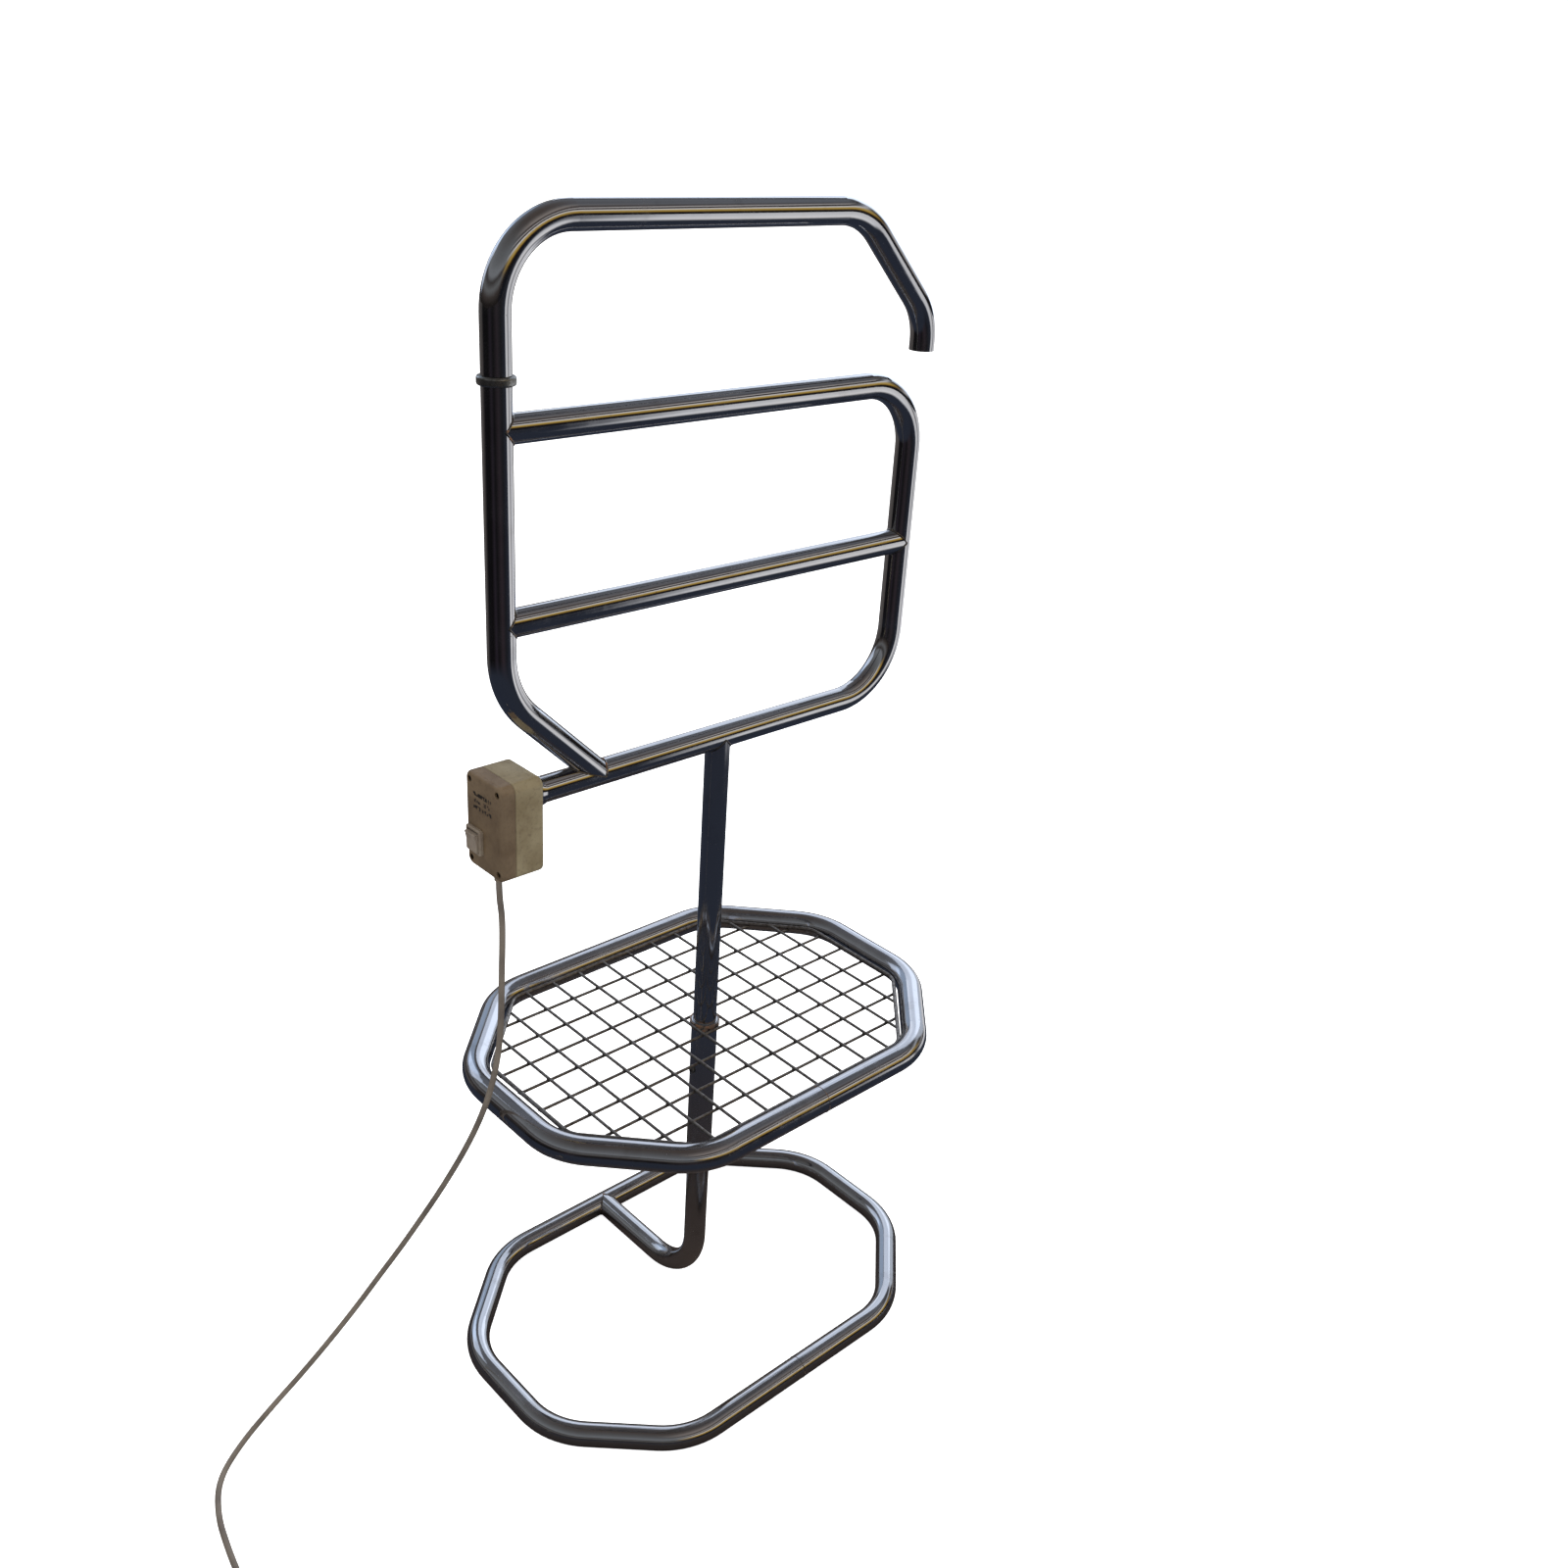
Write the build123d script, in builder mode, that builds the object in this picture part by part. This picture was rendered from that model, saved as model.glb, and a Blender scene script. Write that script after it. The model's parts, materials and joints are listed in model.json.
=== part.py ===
from build123d import *
import math
import os

# Towel warmer rack on a floor stand, in millimetres.
# X runs along the rack, with the control box at -X. Y points to the rear. Z is up.
# The origin is on the floor, on the axis of the post.

# Fits
fixed_clearance = 0.05
running_clearance = 0.05
free_clearance = 0.4
panel_clearance = 0.15
weld_sink = 0.25

# Tubes
tube_radius = 12.5
tube_wall = 1.2
tray_tube_radius = 14.0
tray_tube_wall = 1.2
bend_radius = 70.0
top_bend_radius = 65.0
base_bend_radius = 88.0
tray_bend_radius = 75.0
knee_bend_radius = 85.0
arm_tip_bend_radius = 60.0

# Base ring, to the tube's centre line
base_half_length = 255.0
base_half_width = 175.0
base_cut_length = 107.0
base_cut_width = 101.5

# Tray ring, to the tube's centre line
tray_height = 378.0
tray_half_length = 245.5
tray_half_width = 175.0
tray_cut_length = 99.5
tray_cut_width = 102.5

# Wire grid of the tray: the numbers of bays are odd, so the post stands in the middle bay
border_radius = 2.25
border_rise = 3.0
border_bend_radius = 24.0
border_cut_length = 88.0
border_cut_width = 92.0
wire_radius = 1.6
wire_pitch_x = 34.6
wire_pitch_y = 35.0
bays_x = 13
bays_y = 9

# Posts, and the socket that joins them
post_joint_height = 290.0
socket_length = 176.0
socket_clearance = 0.3
socket_wall = 1.2
socket_collar_height = 7.0
socket_collar_round = 1.0
clamp_screw_height = 322.0
clamp_screw_radius = 2.5
clamp_head_radius = 3.6
clamp_head_height = 2.6
clamp_head_chamfer = 0.5
clamp_key_radius = 1.7
clamp_key_depth = 1.6

# Rack
lower_bar_height = 715.2
middle_bar_height = 877.7
top_bar_height = 1040.1
left_side_x = -247.2
right_side_x = 236.7
knee_height = 814.0
foot_reach = 101.5
lower_bar_end_x = -237.0
upright_top = 1075.6
heating_radius = 3.2
heating_start_x = -240.0
heating_end_gap = 40.0
seal_length = 14.0
seal_round = 1.5

# Swing arm
arm_height = 1199.5
arm_shoulder_x = 147.4
arm_tip_x = 243.6
arm_tip_height = 1069.5
collar_radius = 15.8
collar_height = 7.5
collar_round = 2.0
collar_gap = 0.4
spigot_radius = 9.0
spigot_depth = 70.0
spigot_head_length = 34.0
spigot_chamfer = 1.5
bush_length = 62.0

# Control box shells
box_front_x = -268.7
box_split_x = -254.6
box_back_x = -224.6
box_width = 57.2
box_bottom = 649.5
box_top = 742.2
box_wall = 2.5
box_corner_radius = 7.9
box_edge_radius = 3.6
split_chamfer = 0.5
boss_radius = 4.6

# Cover screws, from the middle of the box
cover_screw_y = 21.6
cover_screw_z = 38.8
cover_screw_radius = 1.5
cover_screw_bite = 12.0
cover_head_radius = 2.6
cover_head_height = 2.0
screw_end_gap = 2.0
recess_radius = 3.0
recess_depth = 3.2
driver_slot_length = 3.4
driver_slot_width = 0.8
driver_slot_depth = 1.2

# Flange, gasket and lock nut on the lower bar
flange_radius = 16.4
flange_neck_radius = 13.5
flange_rim = 2.5
flange_length = 13.0
flange_flare_radius = 26.0
gasket_radius = 17.2
gasket_thickness = 1.2
lock_nut_thickness = 4.0
lock_nut_across_flats = 34.0

# Rocker switch
switch_y = 13.2
switch_z = 678.0
switch_wall = 1.2
switch_body_depth = 14.0
bezel_width = 23.4
bezel_height = 24.6
bezel_proud = 3.5
bezel_corner_radius = 2.0
bezel_round = 1.0
rocker_width = 16.4
rocker_height = 18.2
rocker_proud = 6.4
rocker_dish = 0.8
rocker_skirt = 0.5
rocker_draft = 0.6
rocker_hub = 3.0
rocker_round = 0.7
rocker_rest_tilt = 6.0
rocker_pivot_inset = 1.0
rocker_side_gap = 0.4
rocker_end_gap = 1.0
rocker_pin_radius = 1.5
rocker_pin_length = 0.8
blade_pitch = 8.0
blade_width = 6.3
blade_thickness = 0.8
blade_length = 7.0

# Terminal block and inner wires
block_y = -11.0
block_z = 683.0
block_width = 24.0
block_height = 13.0
block_depth = 12.0
block_round = 1.0
block_back_gap = 0.4
block_pole_pitch = 8.0
block_poles = 3
terminal_screw_radius = 1.5
terminal_screw_depth = 5.0
terminal_head_radius = 2.4
terminal_head_height = 1.6
terminal_slot_width = 0.7
terminal_slot_depth = 0.8
core_radius = 1.1
core_bend_radius = 4.0
core_spacing = 2.35
lead_spacing = 1.6
lead_turn_x = -255.6
supply_core_rise = -3.5
heating_lead_rise = 2.5

# Strain relief and cord clamp
cord_radius = 3.0
relief_length = 20.0
relief_top_radius = 4.9
relief_tip_radius = 3.6
relief_groove_radius = 4.2
relief_shoulder_gap = 0.1
sheath_length = 15.0
clamp_width = 20.0
clamp_height = 7.0
clamp_thickness = 3.0
clamp_round = 1.0
clamp_gap = 0.5
clamp_screw_pitch = 14.0
clamp_post_radius = 3.0
clamp_fixing_radius = 1.3
clamp_fixing_bite = 9.0
clamp_fixing_head_radius = 2.3
clamp_fixing_head_height = 1.8

# Mains lead: chosen points of the route, from the strain relief to the coil
cord_route = [
    (-254.6, 0.0, 637.5),
    (-254.6, 0.0, 621.0),
    (-252.6, -0.9, 600.0),
    (-253.5, -1.8, 572.0),
    (-255.5, -2.2, 533.0),
    (-257.0, -2.6, 493.0),
    (-260.5, -2.2, 452.0),
    (-268.5, 0.5, 412.0),
    (-274.5, 12.0, 373.0),
    (-279.0, 30.0, 332.0),
    (-284.5, 49.5, 292.0),
    (-292.5, 68.5, 252.0),
    (-303.5, 86.5, 213.0),
    (-318.0, 102.0, 175.0),
    (-336.5, 116.0, 138.0),
    (-359.0, 127.0, 101.0),
    (-387.0, 134.5, 67.0),
    (-420.0, 137.5, 38.0),
    (-459.0, 134.5, 16.0),
    (-500.0, 122.0, 3.4),
    (-536.0, 95.0, 3.0),
    (-554.0, 57.0, 3.1),
    (-562.0, 18.0, 3.0),
    (-567.5, -20.0, 3.1),
    (-569.0, -57.0, 3.0),
]

# Coil of the spare length, and the tail that leaves it for the plug
coil_centre_x = -608.0
coil_centre_y = -72.0
coil_turn_radius = 33.0
coil_rows = 3
coil_layers = 2
coil_round = 2.6
tail_route = [
    (-608.0, -111.0, 9.0),
    (-625.0, -111.3, 9.5),
    (-645.0, -111.0, 16.0),
    (-662.0, -111.5, 18.5),
]

# Mains plug
plug_radius = 18.5
plug_length = 33.0
plug_grip_length = 14.0
plug_shoulder_radius = 11.0
plug_neck_length = 20.0
plug_neck_radius = 4.0
plug_neck_root_radius = 6.0
plug_face_round = 1.5
plug_slot_width = 6.0
plug_slot_depth = 2.6
plug_slot_length = 20.0
pin_radius = 2.4
pin_length = 19.0
pin_half_pitch = 9.5
pin_inset = 8.0
pin_root_radius = 3.0
pin_tip_round = 1.2
earth_clip_thickness = 0.6
earth_clip_margin = 0.4

# Places and sizes that follow from those above
tube_bore = tube_radius - tube_wall
tray_tube_bore = tray_tube_radius - tray_tube_wall
border_height = tray_height + border_rise
border_half_length = wire_pitch_x * bays_x / 2
border_touch = tray_tube_radius + border_radius - weld_sink
border_half_width = tray_half_width - math.sqrt(border_touch**2 - border_rise**2)
long_wire_height = border_height - 2 * wire_radius + weld_sink
socket_bore = tube_radius + socket_clearance
socket_radius = socket_bore + socket_wall
socket_collar_radius = min(wire_pitch_x, wire_pitch_y) / 2 - wire_radius + weld_sink
socket_top = border_height + border_radius
socket_bottom = socket_top - socket_length
heating_end_x = left_side_x + tube_radius + heating_end_gap
arm_foot = upright_top + collar_height + collar_gap
box_height = box_top - box_bottom
box_centre_z = (box_top + box_bottom) / 2
cavity_width = box_width - 2 * box_wall
cavity_height = box_height - 2 * box_wall
cavity_corner_radius = box_corner_radius - box_wall
flange_face_x = box_back_x + gasket_thickness
flange_end_x = flange_face_x + flange_length
switch_body_width = rocker_width + 2 * (rocker_side_gap + switch_wall)
switch_body_height = rocker_height + 2 * (rocker_end_gap + switch_wall)
rocker_pivot_x = box_front_x + rocker_pivot_inset
block_back_x = box_back_x - box_wall - block_back_gap
block_front_x = block_back_x - block_depth
supply_core_z = block_z + supply_core_rise
heating_lead_z = block_z + heating_lead_rise
relief_tip_z = cord_route[0][2]
sheath_top = relief_tip_z + relief_length + sheath_length
cord_clamp_x = box_split_x - cord_radius
cord_clamp_z = relief_tip_z + relief_length + clamp_gap + clamp_height / 2
cord_section = math.pi * cord_radius**2


def octagon_half(half_length, half_width, cut_length, cut_width, height):
    """Corner points of the +X half of a rectangle with cut corners, from front to rear."""
    return [
        (0, -half_width, height),
        (half_length - cut_length, -half_width, height),
        (half_length, -half_width + cut_width, height),
        (half_length, half_width - cut_width, height),
        (half_length - cut_length, half_width, height),
        (0, half_width, height),
    ]


def octagon_reach(half_length, half_width, cut_length, cut_width, offset):
    """Half width of a rectangle with cut corners, at a distance from its middle."""
    past_corner = max(0.0, abs(offset) - (half_length - cut_length))
    return half_width - past_corner * cut_width / cut_length


def corner_radii(points):
    """Bend radius at each inner point of a cord's route, as large as its two runs allow."""
    corners = [Vector(*point) for point in points]
    radii = []
    for before, corner, after in zip(corners, corners[1:], corners[2:]):
        run_in = corner - before
        run_out = after - corner
        half_turn = math.radians(run_in.get_angle(run_out)) / 2
        radii.append(0.45 * min(run_in.length, run_out.length) / math.tan(half_turn))
    return radii


def bend_round_tube(points, radii, outer_radius, bore_radius=0.0, mode=Mode.ADD):
    """Sweep a round tube along straight runs and bends, and return its length."""
    with BuildLine() as path:
        FilletPolyline(*points, radius=radii)
    with BuildSketch(Plane(path.line @ 0, z_dir=path.line % 0)) as section:
        Circle(outer_radius)
        if bore_radius > 0:
            Circle(bore_radius, mode=Mode.SUBTRACT)
    sweep(section.sketch, path=path.line, mode=mode)
    return path.wire().length


def cut_bar(height, radius):
    """Cut the room that a bar along X takes from the piece being built."""
    with BuildSketch(Plane.YZ) as bar:
        with Locations((0, height)):
            Circle(radius)
    extrude(bar.sketch, amount=tray_half_length, both=True, mode=Mode.SUBTRACT)


def cut_upright(x, radius):
    """Cut the room that the straight part of an upright takes from the piece being built."""
    with BuildSketch(Plane.XY.offset(knee_height)) as upright:
        with Locations((x, 0)):
            Circle(radius)
    extrude(upright.sketch, amount=upright_top - knee_height, mode=Mode.SUBTRACT)


def cut_cord_hole():
    """Cut the hole for the strain relief, which the parting line divides."""
    with BuildSketch(Plane.XY.offset(box_bottom)) as hole:
        with Locations((box_split_x, 0)):
            Circle(relief_groove_radius + fixed_clearance)
    extrude(hole.sketch, amount=box_wall, mode=Mode.SUBTRACT)


# Stand: a ring of tube on the floor, and a post that rises from its rear side

base_points = octagon_half(
    base_half_length, base_half_width, base_cut_length, base_cut_width, tube_radius
)

with BuildPart() as base_ring:
    bend_round_tube(base_points, base_bend_radius, tube_radius, tube_bore)
    mirror(about=Plane.YZ)

with BuildPart() as lower_post:
    strut_points = [
        (0, base_half_width, tube_radius),
        (0, 0, tube_radius),
        (0, 0, post_joint_height),
    ]
    bend_round_tube(strut_points, bend_radius, tube_radius, tube_bore)
    with BuildSketch(Plane.YZ) as ring_rear:
        with Locations((base_half_width, tube_radius)):
            Circle(tube_radius)
    extrude(amount=2 * tube_radius, both=True, mode=Mode.SUBTRACT)

# Socket: a sleeve through the tray that joins the posts, with its clamp screw on the left

with BuildPart() as post_socket:
    with BuildSketch(Plane.XY.offset(socket_bottom)):
        Circle(socket_radius)
        Circle(socket_bore, mode=Mode.SUBTRACT)
    extrude(amount=socket_length)
    with BuildSketch(Plane.YZ):
        with Locations((0, clamp_screw_height)):
            Circle(clamp_screw_radius)
    extrude(amount=-2 * socket_radius, mode=Mode.SUBTRACT)

with BuildPart() as socket_collar:
    with BuildSketch(Plane.XY.offset(socket_top - socket_collar_height)):
        Circle(socket_collar_radius)
        Circle(socket_radius, mode=Mode.SUBTRACT)
    extrude(amount=socket_collar_height)
    fillet(socket_collar.edges().sort_by(Axis.Z)[-1], socket_collar_round)

with BuildPart() as clamp_screw:
    with BuildSketch(Plane.YZ.offset(-tube_radius)):
        with Locations((0, clamp_screw_height)):
            Circle(clamp_screw_radius)
    extrude(amount=-(socket_radius - tube_radius + clamp_head_height))
    with BuildSketch(Plane.YZ.offset(-socket_radius)):
        with Locations((0, clamp_screw_height)):
            Circle(clamp_head_radius)
    extrude(amount=-clamp_head_height)
    chamfer(clamp_screw.faces().sort_by(Axis.X)[0].edges(), clamp_head_chamfer)
    with BuildSketch(Plane.YZ.offset(-socket_radius - clamp_head_height)):
        with Locations((0, clamp_screw_height)):
            RegularPolygon(clamp_key_radius, 6)
    extrude(amount=clamp_key_depth, mode=Mode.SUBTRACT)

# Tray: a ring of larger tube, with a grid of welded wires inside it

tray_points = octagon_half(
    tray_half_length, tray_half_width, tray_cut_length, tray_cut_width, tray_height
)
border_shape = (border_half_length, border_half_width, border_cut_length, border_cut_width)
border_points = octagon_half(*border_shape, border_height)

with BuildPart() as tray_ring:
    bend_round_tube(tray_points, tray_bend_radius, tray_tube_radius, tray_tube_bore)
    mirror(about=Plane.YZ)

with BuildPart() as tray_border_wire:
    bend_round_tube(border_points, border_bend_radius, border_radius)
    mirror(about=Plane.YZ)

with BuildPart() as tray_cross_wires:
    for wire_index in range(bays_x // 2):
        wire_x = (wire_index + 0.5) * wire_pitch_x
        with BuildSketch(Plane((wire_x, 0, border_height), z_dir=(0, 1, 0))):
            Circle(wire_radius)
        extrude(amount=octagon_reach(*border_shape, wire_x), both=True)
    bend_round_tube(border_points, border_bend_radius, border_radius - weld_sink, mode=Mode.SUBTRACT)
    mirror(about=Plane.YZ)

with BuildPart() as tray_long_wires:
    turned_shape = (border_half_width, border_half_length, border_cut_width, border_cut_length)
    for wire_index in range(bays_y - 1):
        wire_y = (wire_index + 1 - bays_y / 2) * wire_pitch_y
        with BuildSketch(Plane((0, wire_y, long_wire_height), z_dir=(1, 0, 0))):
            Circle(wire_radius)
        extrude(amount=octagon_reach(*turned_shape, wire_y))
    bend_round_tube(border_points, border_bend_radius, border_radius - weld_sink, mode=Mode.SUBTRACT)
    mirror(about=Plane.YZ)

# Rack: one long bent tube, closed on the left by an upright whose foot slants inwards

frame_points = [
    (lower_bar_end_x, 0, lower_bar_height),
    (right_side_x, 0, lower_bar_height),
    (right_side_x, 0, top_bar_height),
    (left_side_x, 0, top_bar_height),
]
frame_bends = [bend_radius, top_bend_radius]

with BuildPart() as rack_frame_tube:
    bend_round_tube(frame_points, frame_bends, tube_radius, tube_bore)
    cut_upright(left_side_x, tube_radius)

with BuildPart() as left_upright:
    upright_points = [
        (left_side_x, 0, upright_top),
        (left_side_x, 0, knee_height),
        (left_side_x + foot_reach, 0, lower_bar_height),
    ]
    bend_round_tube(upright_points, knee_bend_radius, tube_radius, tube_bore)
    cut_bar(lower_bar_height, tube_radius)

with BuildPart() as middle_bar:
    with BuildSketch(Plane.YZ.offset(left_side_x)):
        with Locations((0, middle_bar_height)):
            Circle(tube_radius)
            Circle(tube_bore, mode=Mode.SUBTRACT)
    extrude(amount=right_side_x - left_side_x)
    cut_upright(left_side_x, tube_radius)
    cut_upright(right_side_x, tube_radius)

with BuildPart() as upper_post:
    with BuildSketch(Plane.XY.offset(post_joint_height)):
        Circle(tube_radius)
        Circle(tube_bore, mode=Mode.SUBTRACT)
    extrude(amount=lower_bar_height - post_joint_height)
    cut_bar(lower_bar_height, tube_radius)

cable_points = [
    (heating_start_x, 0, lower_bar_height),
    (right_side_x, 0, lower_bar_height),
    (right_side_x, 0, top_bar_height),
    (heating_end_x, 0, top_bar_height),
]

with BuildPart() as heating_cable:
    bend_round_tube(cable_points, frame_bends, heating_radius)

with BuildPart() as cable_end_seal:
    with BuildSketch(Plane((heating_end_x, 0, top_bar_height), z_dir=(-1, 0, 0))):
        Circle(tube_bore)
    extrude(amount=seal_length)
    fillet(cable_end_seal.edges(), seal_round)

# Swing arm: a bent tube that turns in a bush at the top of the left upright

with BuildPart() as thrust_collar:
    with BuildSketch(Plane.XY.offset(upright_top)):
        with Locations((left_side_x, 0)):
            Circle(collar_radius)
    extrude(amount=collar_height)
    fillet(thrust_collar.edges(), collar_round)
    with BuildSketch(Plane.XY.offset(upright_top)):
        with Locations((left_side_x, 0)):
            Circle(spigot_radius + free_clearance)
    extrude(amount=collar_height, mode=Mode.SUBTRACT)

with BuildPart() as upright_bush:
    with BuildSketch(Plane.XY.offset(upright_top)):
        with Locations((left_side_x, 0)):
            Circle(tube_bore)
            Circle(spigot_radius + running_clearance, mode=Mode.SUBTRACT)
    extrude(amount=-bush_length)

with BuildPart() as arm_spigot:
    with BuildSketch(Plane.XY.offset(arm_foot)):
        with Locations((left_side_x, 0)):
            Circle(spigot_radius)
    extrude(amount=-(arm_foot - upright_top + spigot_depth))
    chamfer(arm_spigot.edges().sort_by(Axis.Z)[0], spigot_chamfer)
    with BuildSketch(Plane.XY.offset(arm_foot)):
        with Locations((left_side_x, 0)):
            Circle(tube_bore)
    extrude(amount=spigot_head_length)

with BuildPart() as swing_arm:
    arm_points = [
        (left_side_x, 0, arm_foot),
        (left_side_x, 0, arm_height),
        (arm_shoulder_x, 0, arm_height),
        (arm_tip_x, 0, arm_height - (arm_tip_x - arm_shoulder_x)),
        (arm_tip_x, 0, arm_tip_height),
    ]
    arm_bends = [bend_radius, bend_radius, arm_tip_bend_radius]
    bend_round_tube(arm_points, arm_bends, tube_radius, tube_bore)

# Control box: a deep housing on the end of the lower bar, with a shallow cover on its left

bar_axis = Axis((0, 0, lower_bar_height), (1, 0, 0))

with BuildPart() as bar_flange:
    with BuildSketch(Plane.XZ):
        with BuildLine():
            Polyline(
                (flange_end_x, lower_bar_height + tube_radius + fixed_clearance),
                (flange_face_x, lower_bar_height + tube_radius + fixed_clearance),
                (flange_face_x, lower_bar_height + flange_radius),
                (flange_face_x + flange_rim, lower_bar_height + flange_radius),
            )
            RadiusArc(
                (flange_face_x + flange_rim, lower_bar_height + flange_radius),
                (flange_end_x, lower_bar_height + flange_neck_radius),
                -flange_flare_radius,
            )
            Line(
                (flange_end_x, lower_bar_height + flange_neck_radius),
                (flange_end_x, lower_bar_height + tube_radius + fixed_clearance),
            )
        make_face()
    revolve(axis=bar_axis)

with BuildPart() as box_gasket:
    with BuildSketch(Plane.YZ.offset(box_back_x)):
        with Locations((0, lower_bar_height)):
            Circle(gasket_radius)
            Circle(tube_radius + fixed_clearance, mode=Mode.SUBTRACT)
    extrude(amount=gasket_thickness)

with BuildPart() as lock_nut:
    with BuildSketch(Plane.YZ.offset(box_back_x - box_wall)):
        with Locations((0, lower_bar_height)):
            RegularPolygon(lock_nut_across_flats / 2, 6, major_radius=False)
            Circle(tube_radius, mode=Mode.SUBTRACT)
    extrude(amount=-lock_nut_thickness)

with BuildPart() as box_housing:
    with BuildSketch(Plane.YZ.offset(box_split_x)):
        with Locations((0, box_centre_z)):
            RectangleRounded(box_width, box_height, box_corner_radius)
    extrude(amount=box_back_x - box_split_x)
    fillet(box_housing.faces().sort_by(Axis.X)[-1].edges(), box_edge_radius)
    chamfer(box_housing.faces().sort_by(Axis.X)[0].edges(), split_chamfer)
    with BuildSketch(Plane.YZ.offset(box_split_x)):
        with Locations((0, box_centre_z)):
            RectangleRounded(cavity_width, cavity_height, cavity_corner_radius)
    extrude(amount=box_back_x - box_wall - box_split_x, mode=Mode.SUBTRACT)
    with BuildSketch(Plane.YZ.offset(box_back_x - box_wall)):
        with Locations((0, box_centre_z)):
            with GridLocations(2 * cover_screw_y, 2 * cover_screw_z, 2, 2):
                Circle(boss_radius)
    extrude(amount=-(box_back_x - box_wall - box_split_x))
    with BuildSketch(Plane.YZ.offset(box_split_x)):
        with Locations((0, box_centre_z)):
            with GridLocations(2 * cover_screw_y, 2 * cover_screw_z, 2, 2):
                Circle(cover_screw_radius)
    extrude(amount=cover_screw_bite, mode=Mode.SUBTRACT)
    with BuildSketch(Plane.YZ.offset(box_back_x - box_wall)):
        with Locations((0, cord_clamp_z)):
            with GridLocations(clamp_screw_pitch, 0, 2, 1):
                Circle(clamp_post_radius)
                Circle(clamp_fixing_radius, mode=Mode.SUBTRACT)
    extrude(amount=-(box_back_x - box_wall - cord_clamp_x))
    with BuildSketch(Plane.YZ.offset(box_back_x)):
        with Locations((0, lower_bar_height)):
            Circle(tube_radius + free_clearance)
    extrude(amount=-box_wall, mode=Mode.SUBTRACT)
    cut_cord_hole()

with BuildPart() as box_cover:
    with BuildSketch(Plane.YZ.offset(box_split_x)):
        with Locations((0, box_centre_z)):
            RectangleRounded(box_width, box_height, box_corner_radius)
    extrude(amount=box_front_x - box_split_x)
    fillet(box_cover.faces().sort_by(Axis.X)[0].edges(), box_edge_radius)
    chamfer(box_cover.faces().sort_by(Axis.X)[-1].edges(), split_chamfer)
    with BuildSketch(Plane.YZ.offset(box_split_x)):
        with Locations((0, box_centre_z)):
            RectangleRounded(cavity_width, cavity_height, cavity_corner_radius)
    extrude(amount=box_front_x + box_wall - box_split_x, mode=Mode.SUBTRACT)
    with BuildSketch(Plane.YZ.offset(box_front_x + box_wall)):
        with Locations((0, box_centre_z)):
            with GridLocations(2 * cover_screw_y, 2 * cover_screw_z, 2, 2):
                Circle(boss_radius)
    extrude(amount=box_split_x - box_front_x - box_wall)
    with BuildSketch(Plane.YZ.offset(box_split_x)):
        with Locations((0, box_centre_z)):
            with GridLocations(2 * cover_screw_y, 2 * cover_screw_z, 2, 2):
                Circle(cover_screw_radius + free_clearance)
    extrude(amount=box_front_x - box_split_x, mode=Mode.SUBTRACT)
    with BuildSketch(Plane.YZ.offset(box_front_x)):
        with Locations((0, box_centre_z)):
            with GridLocations(2 * cover_screw_y, 2 * cover_screw_z, 2, 2):
                Circle(recess_radius)
    extrude(amount=recess_depth, mode=Mode.SUBTRACT)
    with BuildSketch(Plane.YZ.offset(box_front_x)):
        with Locations((switch_y, switch_z)):
            Rectangle(switch_body_width + 2 * panel_clearance, switch_body_height + 2 * panel_clearance)
    extrude(amount=box_wall, mode=Mode.SUBTRACT)
    cut_cord_hole()

with BuildPart() as cover_screws:
    with BuildSketch(Plane.YZ.offset(box_front_x + recess_depth)):
        with Locations((0, box_centre_z)):
            with GridLocations(2 * cover_screw_y, 2 * cover_screw_z, 2, 2):
                Circle(cover_screw_radius)
    extrude(amount=box_split_x - box_front_x - recess_depth + cover_screw_bite - screw_end_gap)
    with BuildSketch(Plane.YZ.offset(box_front_x + recess_depth)):
        with Locations((0, box_centre_z)):
            with GridLocations(2 * cover_screw_y, 2 * cover_screw_z, 2, 2):
                Circle(cover_head_radius)
    extrude(amount=-cover_head_height)
    with BuildSketch(Plane.YZ.offset(box_front_x + recess_depth - cover_head_height)):
        with Locations((0, box_centre_z)):
            with GridLocations(2 * cover_screw_y, 2 * cover_screw_z, 2, 2):
                Rectangle(driver_slot_length, driver_slot_width)
                Rectangle(driver_slot_width, driver_slot_length)
    extrude(amount=driver_slot_depth, mode=Mode.SUBTRACT)

# Rocker switch in the cover

with BuildPart() as switch_body:
    with BuildSketch(Plane.YZ.offset(box_front_x)):
        with Locations((switch_y, switch_z)):
            Rectangle(switch_body_width, switch_body_height)
    extrude(amount=switch_body_depth)
    with BuildSketch(Plane.YZ.offset(box_front_x)):
        with Locations((switch_y, switch_z)):
            RectangleRounded(bezel_width, bezel_height, bezel_corner_radius)
    extrude(amount=-bezel_proud)
    fillet(switch_body.faces().sort_by(Axis.X)[0].edges(), bezel_round)
    with BuildSketch(Plane.YZ.offset(box_front_x - bezel_proud)):
        with Locations((switch_y, switch_z)):
            Rectangle(rocker_width + 2 * rocker_side_gap, rocker_height + 2 * rocker_end_gap)
    extrude(amount=bezel_proud + switch_body_depth - switch_wall, mode=Mode.SUBTRACT)
    with BuildSketch(Plane((rocker_pivot_x, switch_y, switch_z), z_dir=(0, 1, 0))):
        Circle(rocker_pin_radius + running_clearance)
    extrude(amount=switch_body_width / 2, both=True, mode=Mode.SUBTRACT)

tilt = math.radians(rocker_rest_tilt)
rocker_plane = Plane(
    origin=(rocker_pivot_x, switch_y, switch_z),
    x_dir=(-math.cos(tilt), 0, -math.sin(tilt)),
    z_dir=(0, 1, 0),
)

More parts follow.
